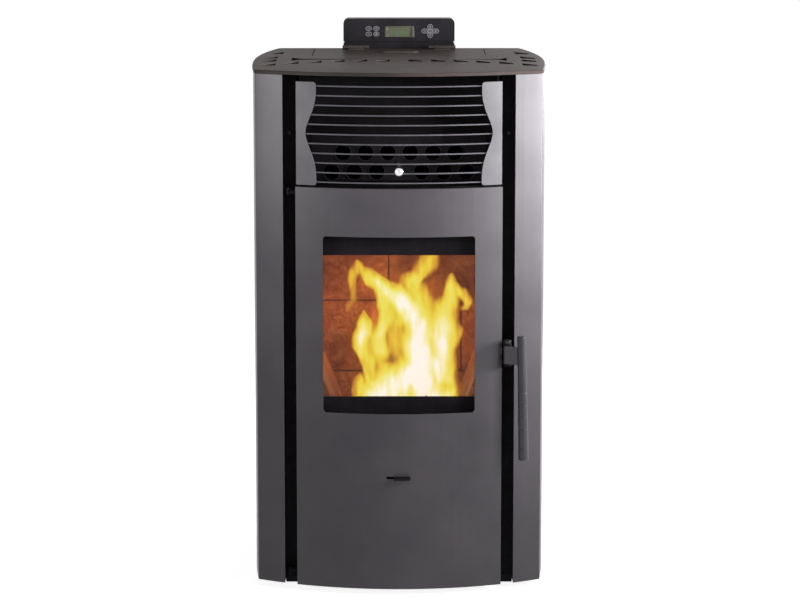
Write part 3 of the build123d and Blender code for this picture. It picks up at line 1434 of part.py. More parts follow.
with BuildPart() as room_fan_housing:
    with BuildSketch(Plane.YZ.offset(fan_x[0] - 6)):
        span(*fan_case_y, *fan_case_z)
    extrude(amount=fan_x[1] - fan_x[0] + 12)
    fillet(room_fan_housing.edges().filter_by(Axis.X), radius=14)
    with BuildSketch(Plane.YZ.offset(fan_x[0] - 3)):
        with Locations(((fan_case_y[0] + fan_case_y[1]) / 2, (fan_case_z[0] + fan_case_z[1]) / 2)):
            RectangleRounded(
                fan_case_y[1] - fan_case_y[0] - 4, fan_case_z[1] - fan_case_z[0] - 4, 12
            )
    extrude(amount=fan_x[1] - fan_x[0] + 6, mode=Mode.SUBTRACT)
    with BuildSketch(facing_front(fan_case_y[1] - 3)):
        span(fan_x[0] + 5, fan_x[1] - 5, fan_center[1] - 22, fan_center[1] + 22)
    extrude(amount=-6, mode=Mode.SUBTRACT)
    with BuildSketch(facing_front(fan_case_y[0] + 3)):
        span(riser_x[0] + 3, riser_x[1] - 3, 70, 122)
    extrude(amount=6, mode=Mode.SUBTRACT)
    with BuildSketch(Plane.YZ.offset(fan_x[0] - 6)):
        with Locations(fan_center):
            Circle(fan_shaft_r + running_gap)
    extrude(amount=fan_x[1] - fan_x[0] + 12, mode=Mode.SUBTRACT)
    with BuildSketch(Plane.XY.offset(tray_floor_z)):
        span(fan_x[0] + 10, fan_x[0] + 30, 100, 200)
        span(fan_x[1] - 30, fan_x[1] - 10, 100, 200)
    extrude(amount=fan_case_z[0] - tray_floor_z)
keep("room_fan_housing", room_fan_housing)

with BuildPart() as room_fan_wheel:
    with BuildSketch(Plane.YZ.offset(fan_x[0] - 8)):
        with Locations(fan_center):
            Circle(fan_shaft_r)
    extrude(amount=fan_x[1] - fan_x[0] + 16)
    with BuildSketch(Plane.YZ.offset(fan_x[0] + 2)):
        with Locations(fan_center):
            with PolarLocations(fan_r - 5, fan_blades):
                Rectangle(8, 1.5)
    extrude(amount=fan_x[1] - fan_x[0] - 4)
    for disc_x in (fan_x[0] + 1, (fan_x[0] + fan_x[1]) / 2, fan_x[1] - 3):
        with BuildSketch(Plane.YZ.offset(disc_x)):
            with Locations(fan_center):
                Circle(fan_r)
        extrude(amount=2)
keep("room_fan_wheel", room_fan_wheel)

with BuildPart() as rear_air_duct:
    with BuildSketch(facing_front(duct_back[1])):
        span(-inner_half, inner_half, *plenum_z)
        span(*riser_x, 64, plenum_z[0])
    extrude(amount=duct_back[1] - duct_back[0])
    with BuildSketch(Plane.YZ.offset(riser_x[0])):
        span(duct_back[1], fan_case_y[0] - fit_gap, 64, 128)
    extrude(amount=riser_x[1] - riser_x[0])
    with BuildSketch(facing_front(duct_back[1] - sheet)):
        span(-inner_half + sheet, inner_half - sheet, plenum_z[0] + sheet, plenum_z[1] - sheet)
        span(riser_x[0] + sheet, riser_x[1] - sheet, 64 + sheet, plenum_z[0] + 5)
    extrude(amount=duct_back[1] - duct_back[0] - 2 * sheet, mode=Mode.SUBTRACT)
    with BuildSketch(Plane.YZ.offset(riser_x[0] + sheet)):
        span(duct_back[1] - 3, fan_case_y[0], 64 + sheet, 128 - sheet)
    extrude(amount=riser_x[1] - riser_x[0] - 2 * sheet, mode=Mode.SUBTRACT)
    with BuildSketch(facing_front(duct_back[0] + sheet)):
        with Locations(*tube_places):
            Circle(tube_r - tube_wall)
    extrude(amount=sheet, mode=Mode.SUBTRACT)
    # seams: front plate, back plate, the strip round the edge and the elbow to the fan
    seam(-far, far, duct_back[0] + sheet, duct_back[0] + sheet + hairline, 0, far)
    seam(-far, far, duct_back[1] - sheet - hairline, duct_back[1] - sheet, 0, far)
    seam(-far, far, duct_back[1], duct_back[1] + hairline, 0, far)
keep("rear_air_duct", rear_air_duct)

pipe_wall = 2.0
pipe_out = 20.0

with BuildPart() as air_inlet_pipe:
    with BuildSketch(facing_front(box_rear_y + fit_gap)):
        with Locations(air_pipe):
            Circle(air_pipe_r + collar_step)
    extrude(amount=box_rear_y + fit_gap - rear_y)
    with BuildSketch(facing_front(rear_y)):
        with Locations(air_pipe):
            Circle(air_pipe_r)
    extrude(amount=-pipe_out)
    with BuildSketch(facing_front(box_rear_y + fit_gap)):
        with Locations(air_pipe):
            Circle(air_pipe_r + 8)
    extrude(amount=-3)
    with BuildSketch(facing_front(box_rear_y)):
        with Locations(air_pipe):
            Circle(air_pipe_r - pipe_wall)
    extrude(amount=-300, mode=Mode.SUBTRACT)
keep("air_inlet_pipe", air_inlet_pipe)

with BuildPart() as igniter:
    with BuildSketch(facing_front(cradle_y[1] + 1)):
        with Locations(igniter_place):
            Circle(igniter_r)
    extrude(amount=cradle_y[1] + 1 - box_rear_y - 42)
    with BuildSketch(facing_front(box_rear_y + fit_gap)):
        with Locations(igniter_place):
            RegularPolygon(11, 6)
    extrude(amount=-8)
keep("igniter", igniter)

# ---------------------------------------------------------------- electrics
board_x = (hopper_half + 3.0, hopper_half + 33.0)
board_y = (70.0, 190.0)
board_z = (640.0, 790.0)

with BuildPart() as control_board:
    with BuildSketch(Plane.YZ.offset(board_x[0])):
        span(*board_y, *board_z)
    extrude(amount=board_x[1] - board_x[0])
    fillet(control_board.edges().filter_by(Axis.X), radius=5)
    offset(amount=-sheet, openings=control_board.faces().sort_by(Axis.X)[-1])
    with BuildSketch(Plane.YZ.offset(board_x[0] + 8)):
        span(board_y[0] + 5, board_y[1] - 5, board_z[0] + 5, board_z[1] - 5)
    extrude(amount=1.6)
    with BuildSketch(Plane.YZ.offset(board_x[0])):
        with Locations((85, 655), (175, 655), (85, 775), (175, 775)):
            Circle(3)
    extrude(amount=9)
    with BuildSketch(Plane.YZ.offset(board_x[0] + 9.6)):
        span(85, 107, 655, 687)
        span(120, 144, 652, 664)
        span(150, 172, 700, 714)
        span(88, 100, 730, 742)
        span(106, 118, 730, 742)
        span(124, 136, 730, 742)
    extrude(amount=12)
    with BuildSketch(Plane.YZ.offset(hopper_half + fit_gap)):
        with Locations((90, 670), (170, 670), (90, 760), (170, 760)):
            Circle(5)
    extrude(amount=3)
keep("control_board", control_board)

inlet_center = (175.0, 75.0)
inlet_size = (50.0, 32.0)
switch_x = inlet_center[0] + 13.0
switch_z = inlet_center[1]
switch_axis_y = rear_y - 1.0
rocker_half = (6.0, 10.0)

with BuildPart() as power_inlet:
    with BuildSketch(facing_front(rear_y + 2.5)):
        with Locations(inlet_center):
            RectangleRounded(inlet_size[0] + 8, inlet_size[1] + 8, 4)
    extrude(amount=2.2)
    with BuildSketch(facing_front(rear_y + 0.5)):
        with Locations(inlet_center):
            Rectangle(inlet_size[0] - 1, inlet_size[1] - 1)
    extrude(amount=28)
    with BuildSketch(facing_front(rear_y + 2.5)):
        with Locations((inlet_center[0] - 9, inlet_center[1])):
            RectangleRounded(24, 18, 4)
        with Locations((switch_x, switch_z)):
            Rectangle(2 * rocker_half[0] + 0.6, 2 * rocker_half[1] + 1.6)
    extrude(amount=20, mode=Mode.SUBTRACT)
    with BuildSketch(facing_front(rear_y)):
        with Locations(
            (inlet_center[0] - 15, inlet_center[1] + 2),
            (inlet_center[0] - 3, inlet_center[1] + 2),
            (inlet_center[0] - 9, inlet_center[1] - 4),
        ):
            Rectangle(2, 5)
    extrude(amount=18)
    with BuildSketch(Plane.YZ.offset(switch_x - rocker_half[0] - 2)):
        with Locations((switch_axis_y - 5, switch_z)):
            Circle(1.5)
    extrude(amount=2 * rocker_half[0] + 4)
keep("power_inlet", power_inlet)

with BuildPart() as rocker_switch:
    with BuildSketch(Plane.YZ.offset(switch_x - rocker_half[0])):
        with BuildLine():
            Polyline(
                (switch_axis_y - 9, switch_z - 3),
                (switch_axis_y + 1.5, switch_z - 9),
                (switch_axis_y + 4.5, switch_z - 9),
                (switch_axis_y + 3, switch_z),
                (switch_axis_y + 4.5, switch_z + 9),
                (switch_axis_y + 1.5, switch_z + 9),
                (switch_axis_y - 9, switch_z + 3),
                close=True,
            )
        make_face()
        with Locations((switch_axis_y - 5, switch_z)):
            Circle(1.5 + running_gap, mode=Mode.SUBTRACT)
    extrude(amount=2 * rocker_half[0])
keep("rocker_switch", rocker_switch)

louvre_rows = ((-40.0, 600.0, 9), (-40.0, 330.0, 5))
louvre_half = 55.0
louvre_pitch = 16.0
intake_x = (-20.0, 140.0)
intake_slots = 7

with BuildPart() as rear_panel:
    with BuildSketch(facing_front(rear_y)):
        span(-rear_flange_x, rear_flange_x, skirt_z + 2, panel_top_z)
    extrude(amount=sheet + 0.25)
    with BuildSketch(facing_front(rear_y)):
        with Locations((spigot_x, spigot_z)):
            Circle(spigot_r + collar_step + 1)
        with Locations(air_pipe):
            Circle(air_pipe_r + collar_step + 1)
        with Locations(inlet_center):
            Rectangle(inlet_size[0], inlet_size[1])
        for left_x, low_z, count in louvre_rows:
            for row in range(count):
                for shift in (-75, 75):
                    with Locations((shift, low_z + louvre_pitch * row)):
                        SlotOverall(2 * louvre_half, 5)
        for row in range(intake_slots):
            with Locations(((intake_x[0] + intake_x[1]) / 2, 66 + 10 * row)):
                SlotOverall(intake_x[1] - intake_x[0], 5)
    extrude(amount=30, mode=Mode.SUBTRACT)
keep("rear_panel", rear_panel)

# ---------------------------------------------------------------- screws
panel_screw_z = (40.0, 300.0, 620.0, 880.0)

with BuildPart() as fasteners:
    head_y = post_y - 0.05
    with BuildSketch(facing_front(head_y)):
        for level in post_screw_z:
            with Locations((post_screw_x, level), (-post_screw_x, level)):
                Circle(screw_head_r)
    extrude(amount=screw_head_h)
    with BuildSketch(facing_front(head_y)):
        for level in post_screw_z:
            with Locations((post_screw_x, level), (-post_screw_x, level)):
                Circle(screw_shank_r)
    extrude(amount=-sheet - 6)
    with BuildSketch(facing_front(rear_y + 0.05 + screw_head_h)):
        for level in panel_screw_z:
            with Locations((196.0, level), (-196.0, level)):
                Circle(screw_head_r)
    extrude(amount=screw_head_h)
keep("fasteners", fasteners)
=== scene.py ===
import json
import math

import bmesh
import bpy
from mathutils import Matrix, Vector

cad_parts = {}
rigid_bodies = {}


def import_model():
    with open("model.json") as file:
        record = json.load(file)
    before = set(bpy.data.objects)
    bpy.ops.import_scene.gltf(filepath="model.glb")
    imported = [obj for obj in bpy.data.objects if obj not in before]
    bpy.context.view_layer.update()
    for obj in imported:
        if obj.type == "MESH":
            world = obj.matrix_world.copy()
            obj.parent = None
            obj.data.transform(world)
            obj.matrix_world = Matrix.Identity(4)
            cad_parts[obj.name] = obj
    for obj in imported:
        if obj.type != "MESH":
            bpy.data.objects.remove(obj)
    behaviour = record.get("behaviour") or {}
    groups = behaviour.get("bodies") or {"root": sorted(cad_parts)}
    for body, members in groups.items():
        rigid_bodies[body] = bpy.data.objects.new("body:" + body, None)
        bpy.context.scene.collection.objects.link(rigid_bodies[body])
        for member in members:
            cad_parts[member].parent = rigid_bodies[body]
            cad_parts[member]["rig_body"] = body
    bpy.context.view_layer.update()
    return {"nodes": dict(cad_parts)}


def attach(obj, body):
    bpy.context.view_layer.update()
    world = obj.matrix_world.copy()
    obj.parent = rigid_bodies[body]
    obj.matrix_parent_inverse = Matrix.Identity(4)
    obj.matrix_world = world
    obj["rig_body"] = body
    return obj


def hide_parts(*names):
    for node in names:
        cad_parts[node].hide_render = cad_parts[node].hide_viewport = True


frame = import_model()
nodes = frame["nodes"]
bodyOf = {name: obj["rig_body"] for name, obj in nodes.items()}
mm = 0.001


def linearColour(hexText):
    # sRGB hex to the linear values that shader sockets take
    values = [int(hexText[i : i + 2], 16) / 255 for i in (1, 3, 5)]
    values = [v / 12.92 if v <= 0.04045 else ((v + 0.055) / 1.055) ** 2.4 for v in values]
    return (*values, 1.0)


def addNode(tree, kind, inputs=None, stops=(), **settings):
    # an input takes a value, a socket, a node (its first output is meant) or a list of those
    # to join; stops are the places and colours of a colour ramp
    node = tree.nodes.new(kind)
    for key, value in settings.items():
        setattr(node, key, value)
    for key, value in (inputs or {}).items():
        for one in value if isinstance(value, list) else [value]:
            if isinstance(one, bpy.types.Node):
                one = one.outputs[0]
            if isinstance(one, bpy.types.NodeSocket):
                tree.links.new(one, node.inputs[key])
            else:
                node.inputs[key].default_value = one
    if stops:
        elements = node.color_ramp.elements
        while len(elements) < len(stops):
            elements.new(0.5)
        for element, (position, colour) in zip(elements, stops):
            element.position = position
            element.color = linearColour(colour)
    return node


def newMaterial(name):
    # an empty material and its tree
    material = bpy.data.materials.new(name)
    material.use_nodes = True
    tree = material.node_tree
    tree.nodes.clear()
    return material, tree


def finishMaterial(tree, shaderInputs):
    shader = addNode(tree, "ShaderNodeBsdfPrincipled", shaderInputs)
    addNode(tree, "ShaderNodeOutputMaterial", {"Surface": shader})


def surface(name, tones, drift=None, grain=None, gloss=None, relief=None, waves=None, **plain):
    # drift, grain and waves are patterns: the size of their bumps on the real piece in
    # millimetres, their detail and their roughness. The tones follow the drift, or are one
    # colour where there is none; the gloss (lowest and highest roughness) follows the grain,
    # and the relief (strength, depth in millimetres) the waves, or else the grain
    material, tree = newMaterial(name)
    where = addNode(tree, "ShaderNodeTexCoord").outputs["Object"]
    patterns = {}
    for use, pattern in (("drift", drift), ("grain", grain), ("waves", waves)):
        if pattern:
            sizeMm, detail, rough = pattern
            patterns[use] = addNode(
                tree,
                "ShaderNodeTexNoise",
                {"Vector": where, "Scale": 1000 / sizeMm, "Detail": detail, "Roughness": rough},
            )
    inputs = {socket.replace("_", " "): value for socket, value in plain.items()}
    if drift:
        inputs["Base Color"] = addNode(
            tree, "ShaderNodeValToRGB", {"Fac": patterns["drift"]}, tones
        )
    else:
        inputs["Base Color"] = linearColour(tones)
    if gloss:
        inputs["Roughness"] = addNode(
            tree,
            "ShaderNodeMapRange",
            {"Value": patterns["grain"], "To Min": gloss[0], "To Max": gloss[1]},
        )
    if relief:
        inputs["Normal"] = addNode(
            tree,
            "ShaderNodeBump",
            {
                "Height": patterns["waves" if waves else "grain"],
                "Strength": relief[0],
                "Distance": relief[1] * mm,
            },
        )
    finishMaterial(tree, inputs)
    return material


coatLook = {
    "dark": "#403d42",
    "light": "#4b474c",
    "patchMm": 130,
    "grainMm": 1.3,
    "roughness": 0.4,
    "metal": 0.15,
    "ior": 1.42,
}


def anthraciteCoat(
    name="anthracitePowderCoat",
    dark=coatLook["dark"],
    light=coatLook["light"],
    metal=coatLook["metal"],
    ior=coatLook["ior"],
):
    # polyester powder coat, sprayed and baked: fine orange peel, satin, faint metallic fleck
    return surface(
        name,
        [(0.35, dark), (0.65, light)],
        drift=(coatLook["patchMm"], 3, 0.5),
        grain=(coatLook["grainMm"], 3, 0.6),
        gloss=(coatLook["roughness"] - 0.06, coatLook["roughness"] + 0.08),
        relief=(0.25, 0.05),
        Metallic=metal,
        IOR=ior,
    )


def blackHeatPaint(name="blackHeatPaint", dark="#121013", light="#1d1a1d", ior=1.18):
    # silicone heat-proof paint: dead matt, slightly dusty, mirrors next to nothing
    return surface(
        name,
        [(0.35, dark), (0.7, light)],
        drift=(25, 4, 0.6),
        grain=(0.8, 2, 0.5),
        gloss=(0.55, 0.75),
        relief=(0.3, 0.04),
        IOR=ior,
    )


zincLook = {
    "spangleMm": 9,
    "tones": [(0.2, "#7f8285"), (0.5, "#94979a"), (0.8, "#a9acae")],
    "gloss": (0.3, 0.5),
}


def zincSheet():
    # hot-dip galvanised sheet: spangle crystals a few millimetres to a centimetre wide
    material, tree = newMaterial("galvanisedSheet")
    where = addNode(tree, "ShaderNodeTexCoord").outputs["Object"]
    crystals = addNode(
        tree, "ShaderNodeTexVoronoi", {"Vector": where, "Scale": 1000 / zincLook["spangleMm"]}
    ).outputs["Color"]
    low, high = zincLook["gloss"]
    finishMaterial(
        tree,
        {
            "Metallic": 0.9,
            "Base Color": addNode(
                tree, "ShaderNodeValToRGB", {"Fac": crystals}, zincLook["tones"]
            ),
            "Roughness": addNode(
                tree, "ShaderNodeMapRange", {"Value": crystals, "To Min": low, "To Max": high}
            ),
        },
    )
    return material


# the joints are sunk behind the board's face, which is at y = -2 mm, and painted shade darkens them
brickLook = {
    "flakeMm": 3.5,
    "flakes": [(0.15, "#a1582c"), (0.5, "#bd6c3c"), (0.85, "#cf8750")],
    "sootMm": 70,
    "soot": [(0.3, "#8f6e58"), (0.6, "#f2f2f2")],
    "paintedJointShade": "#5a2c16",
    "jointShadeFromMm": -1.8,
    "jointShadeToMm": -0.6,
}


def vermiculite():
    # pressed vermiculite board: golden flakes, stained by heat and soot
    material, tree = newMaterial("pressedVermiculite")
    where = addNode(tree, "ShaderNodeTexCoord").outputs["Object"]
    flakes = addNode(
        tree, "ShaderNodeTexVoronoi", {"Vector": where, "Scale": 1000 / brickLook["flakeMm"]}
    ).outputs
    clean = addNode(tree, "ShaderNodeValToRGB", {"Fac": flakes["Color"]}, brickLook["flakes"])
    smoke = addNode(
        tree,
        "ShaderNodeTexNoise",
        {"Vector": where, "Scale": 1000 / brickLook["sootMm"], "Detail": 5, "Roughness": 0.6},
    )
    soot = addNode(tree, "ShaderNodeValToRGB", {"Fac": smoke}, brickLook["soot"])
    # a colour mix keeps its colours on sockets 6 and 7 and its result on output 2
    stained = addNode(
        tree,
        "ShaderNodeMix",
        {"Factor": 1.0, 6: clean, 7: soot},
        data_type="RGBA",
        blend_type="MULTIPLY",
    ).outputs[2]
    # painted shade: the deeper a surface lies in a joint, the more it takes the dark joint colour
    depth = addNode(tree, "ShaderNodeSeparateXYZ", {"Vector": where}).outputs["Y"]
    paintedJointShade = addNode(
        tree,
        "ShaderNodeMapRange",
        {
            "Value": depth,
            "From Min": brickLook["jointShadeFromMm"] * mm,
            "From Max": brickLook["jointShadeToMm"] * mm,
        },
    )
    jointShaded = addNode(
        tree,
        "ShaderNodeMix",
        {"Factor": paintedJointShade, 6: stained, 7: linearColour(brickLook["paintedJointShade"])},
        data_type="RGBA",
    ).outputs[2]
    dents = addNode(
        tree,
        "ShaderNodeBump",
        {"Height": flakes["Distance"], "Strength": 0.6, "Distance": 0.4 * mm},
    )
    finishMaterial(tree, {"Roughness": 0.9, "Base Color": jointShaded, "Normal": dents})
    return material


# the wave texture repeats about every 0.3 m at scale 1, hence the division by 3.14
ropeLook = {"strandMm": 2, "tones": [(0.2, "#4d4a44"), (0.8, "#8f8a7f")], "reliefMm": 0.5}


def ropeSeal():
    # knitted glass-fibre rope: dull grey strands that cross its run
    material, tree = newMaterial("knittedGlassFibre")
    where = addNode(tree, "ShaderNodeTexCoord").outputs["Object"]
    weave = addNode(
        tree,
        "ShaderNodeTexWave",
        {
            "Vector": where,
            "Scale": 1000 / ropeLook["strandMm"] / 3.14,
            "Distortion": 1.5,
            "Detail": 2.0,
        },
        bands_direction="DIAGONAL",
    ).outputs["Fac"]
    colour = addNode(tree, "ShaderNodeValToRGB", {"Fac": weave}, ropeLook["tones"])
    strands = addNode(
        tree,
        "ShaderNodeBump",
        {"Height": weave, "Strength": 0.7, "Distance": ropeLook["reliefMm"] * mm},
    )
    finishMaterial(tree, {"Roughness": 0.95, "Base Color": colour, "Normal": strands})
    return material


def glossAbs(name="glossAbs", dark="#19171a", light="#211f23", roughness=0.22, ior=1.3):
    # injection-moulded ABS with a polished tool: a little waviness, few reflections
    return surface(
        name,
        [(0.3, dark), (0.7, light)],
        drift=(40, 2, 0.5),
        grain=(1.5, 2, 0.5),
        gloss=(roughness - 0.04, roughness + 0.08),
        relief=(0.1, 0.05),
        waves=(8, 2, 0.5),
        IOR=ior,
    )


def mattPlastic(name, dark, light, grainMm=0.9):
    # moulded plastic with a spark-eroded texture
    return surface(
        name,
        [(0.3, dark), (0.7, light)],
        drift=(20, 2, 0.5),
        grain=(grainMm, 2, 0.5),
        gloss=(0.4, 0.6),
        relief=(0.3, 0.04),
        IOR=1.5,
    )


casing = anthraciteCoat()
gripCoat = anthraciteCoat("gripPowderCoat", "#322f34", "#3c393f")
# seen edge-on from the front, so its coat is flatter, or it would mirror the background
topCoat = anthraciteCoat("topPlatePowderCoat", "#3d3735", "#494240", 0.0, 1.06)
# the same coat on thin laser-cut sheet, drier at the edges; painted a shade lighter than the
# casing, as painted light for the light falling on the bars and ears
litGrilleCoat = surface(
    "grilleLitPowderCoat",
    [(0.35, "#4e4b51"), (0.65, "#59565c")],
    drift=(60, 2, 0.5),
    grain=(1.2, 2, 0.5),
    gloss=(0.42, 0.55),
    relief=(0.2, 0.04),
    Metallic=0.1,
    IOR=1.42,
)
heatPaint = blackHeatPaint()
recessPaint = blackHeatPaint("recessPaint", "#1a181b", "#262427")
ductPaint = blackHeatPaint("ductPaint", "#0d0c0d", "#151315", 1.1)
tubePaint = blackHeatPaint("tubeEndPaint", "#1c1a1d", "#29272a")
zinc = zincSheet()
# black-passivated zinc on hardened steel: dark, half gloss
zincBlack = surface(
    "blackPassivatedZinc",
    [(0.3, "#2b2a2c"), (0.7, "#444346")],
    drift=(3, 3, 0.5),
    grain=(1.0, 2, 0.5),
    gloss=(0.3, 0.5),
    Metallic=0.8,
)
# sand-cast grey iron, used: rough skin with ash-grey bloom
iron = surface(
    "sandCastIron",
    [(0.3, "#2b2928"), (0.6, "#464240"), (0.8, "#6b625a")],
    drift=(12, 5, 0.65),
    grain=(2.0, 4, 0.6),
    gloss=(0.6, 0.85),
    relief=(0.5, 0.2),
    Metallic=0.5,
)
brick = vermiculite()
rope = ropeSeal()
# chrome-plated brass, polished: mirrors the room, faintly hazy in places
chrome = surface("polishedChrome", "#dcdde0", grain=(6, 3, 0.5), gloss=(0.04, 0.12), Metallic=1.0)
consoleAbs = glossAbs()
bezelAbs = glossAbs("bezelAbs", "#4c4541", "#59524d", 0.35, 1.45)
keyRubber = mattPlastic("keyRubber", "#2a282c", "#353337")
inletPlastic = mattPlastic("inletNylon", "#19191b", "#252527")
padRubber = mattPlastic("padRubber", "#161616", "#222222", 1.4)
# die-cast aluminium motor shell, as cast: pale, satin
alloy = surface(
    "dieCastAluminium",
    [(0.3, "#7c7e81"), (0.7, "#97999c")],
    drift=(15, 3, 0.5),
    grain=(1.1, 3, 0.5),
    gloss=(0.35, 0.55),
    relief=(0.25, 0.05),
    Metallic=0.85,
)
# clear glass ceramic with the faint amber tint that it has edge-on; it mirrors little
glass = surface(
    "glassCeramic",
    [(0.3, "#fff6ea"), (0.7, "#ffffff")],
    drift=(120, 3, 0.5),
    IOR=1.22,
    Roughness=0.0,
    Transmission_Weight=1.0,
)
# reflective liquid crystal panel, switched on: grey-green, lightly speckled
lcd = surface(
    "lcdPanel",
    [(0.3, "#474e3b"), (0.7, "#535a45")],
    drift=(6, 3, 0.5),
    Roughness=0.25,
    IOR=1.5,
)

look = {
    casing: ["door_skin", "left_side_panel", "right_side_panel", "rear_panel", "handle_lever"],
    gripCoat: ["handle_grip"],
    topCoat: ["top_plate", "hopper_lid", "lid_hinges"],
    # the grille wears the lighter copy of the casing coat, with painted light
    litGrilleCoat: ["grille_side_plates", "grille_bars"],
    recessPaint: ["front_posts", "hinge_brackets", "base_tray"],
    heatPaint: [
        "air_inlet_pipe",
        "ash_pan",
        "auger_tube",
        "blower_housing",
        "damper_slider",
        "door_frame",
        "exchanger_tubes",
        "firebox",
    ],
    ductPaint: ["outlet_duct"],
    zinc: [
        "auger_screw",
        "blower_wheel",
        "glass_clips",
        "hopper",
        "igniter",
        "rear_air_duct",
        "room_fan_housing",
        "room_fan_wheel",
        "scraper",
    ],
    zincBlack: ["fasteners", "handle_pin"],
    iron: ["burn_pot"],
    brick: ["firebrick_lining", "baffle_plate"],
    rope: ["door_gaskets", "lid_gasket"],
    chrome: ["scraper_knob"],
    consoleAbs: ["console_fascia", "console_housing"],
    bezelAbs: ["screen_bezel"],
    keyRubber: [name for name in nodes if name.endswith("_key") or name.startswith("round_key")],
    inletPlastic: ["power_inlet", "rocker_switch", "control_board"],
    padRubber: ["levelling_feet"],
    alloy: ["auger_gearmotor", "blower_motor"],
    glass: ["door_glass"],
    lcd: ["screen"],
}
for material, names in look.items():
    for name in names:
        nodes[name].data.materials.clear()
        nodes[name].data.materials.append(material)
print("materials", len(look))


def place(obj, node, *replaced):
    # rides with the node's body and stands for the CAD nodes that it replaces
    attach(obj, bodyOf[node])
    if replaced:
        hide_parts(*replaced)


def meshObject(name, mesh, material):
    obj = bpy.data.objects.new(name, mesh)
    bpy.context.scene.collection.objects.link(obj)
    mesh.materials.clear()
    mesh.materials.append(material)
    return obj


dressing = {
    "mergeAt": 1e-6,
    "flatDegrees": 0.2,
    "sharpDegrees": 32,
    "grownSharpDegrees": 35,
    "bevelDegrees": 40,
    "bevelSegments": 2,
}


def dressed(node, widthMm, material):
    # a merged copy of a CAD node with its sheet edges eased and its bows smooth
    mesh = nodes[node].data.copy()
    work = bmesh.new()
    work.from_mesh(mesh)
    bmesh.ops.remove_doubles(work, verts=work.verts, dist=dressing["mergeAt"])
    flat = math.radians(dressing["flatDegrees"])
    bmesh.ops.dissolve_limit(work, angle_limit=flat, verts=work.verts, edges=work.edges)
    work.to_mesh(mesh)
    work.free()
    mesh.shade_smooth()
    mesh.set_sharp_from_angle(angle=math.radians(dressing["sharpDegrees"]))
    obj = meshObject(node + "Dressed", mesh, material)
    if widthMm:
        bevel = obj.modifiers.new("edge", "BEVEL")
        bevel.width = widthMm * mm
        bevel.segments = dressing["bevelSegments"]
        bevel.limit_method = "ANGLE"
        bevel.angle_limit = math.radians(dressing["bevelDegrees"])
        bevel.harden_normals = True
        bevel.use_clamp_overlap = True
    place(obj, node, node)


# width of the eased edges; a piece with 0 is only smoothed
edgeMm = {
    "door_skin": 0.7,
    "left_side_panel": 0.8,
    "right_side_panel": 0.8,
    "top_plate": 0.4,
    "hopper_lid": 0.4,
    "grille_side_plates": 0.4,
    "console_housing": 0.8,
    "console_fascia": 0.5,
    "handle_grip": 0.3,
    "handle_lever": 0.5,
    "door_frame": 0.4,
    "outlet_duct": 0.0,
    "front_posts": 0.4,
    "screen_bezel": 0.4,
    "scraper_knob": 0.0,
    "firebrick_lining": 0.6,
}
for name, width in edgeMm.items():
    dressed(name, width, nodes[name].data.materials[0])
print("dressed", len(edgeMm))


def geometryTree(name, inputs):
    # a tree whose sizes are named inputs
    tree = bpy.data.node_groups.new(name, "GeometryNodeTree")
    tree.interface.new_socket("Geometry", in_out="OUTPUT", socket_type="NodeSocketGeometry")
    for label, value in inputs.items():
        kind = "NodeSocketInt" if isinstance(value, int) else "NodeSocketFloat"
        tree.interface.new_socket(label, in_out="INPUT", socket_type=kind)
    return tree, addNode(tree, "NodeGroupInput").outputs


def finishTree(tree, geometry, material):
    real = addNode(tree, "GeometryNodeRealizeInstances", {"Geometry": geometry})
    painted = addNode(
        tree, "GeometryNodeSetMaterial", {"Geometry": real, "Material": material}
    )
    addNode(tree, "NodeGroupOutput", {"Geometry": painted})


def grown(name, tree, inputs, material, node, *replaced):
    # runs the tree once and keeps the plain mesh
    seed = bpy.data.objects.new(name + "Seed", bpy.data.meshes.new(name + "Seed"))
    bpy.context.scene.collection.objects.link(seed)
    modifier = seed.modifiers.new(name, "NODES")
    modifier.node_group = tree
    for item in tree.interface.items_tree:
        if item.in_out == "INPUT":
            modifier[item.identifier] = inputs[item.name]
    bpy.context.view_layer.update()
    shown = seed.evaluated_get(bpy.context.evaluated_depsgraph_get())
    mesh = bpy.data.meshes.new_from_object(shown)
    bpy.data.objects.remove(seed)
    mesh.shade_smooth()
    mesh.set_sharp_from_angle(angle=math.radians(dressing["grownSharpDegrees"]))
    place(meshObject(name, mesh, material), node, *replaced)


grille = {
    "Bar Count": 11,
    "Bar Pitch": 16.45 * mm,
    "Top Bar Height": 886 * mm,
    "Bow Radius": 479.7 * mm,
    "Bow Center Y": 210.25 * mm,
    "Half Width": 166 * mm,
    "Bar Thickness": 2.2 * mm,
    "Bar Depth": 5 * mm,
    "Edge Radius": 0.7 * mm,
    "Carrier Width": 7 * mm,
    "Carrier X": 164 * mm,
    "Carrier Y": -233.6 * mm,
}


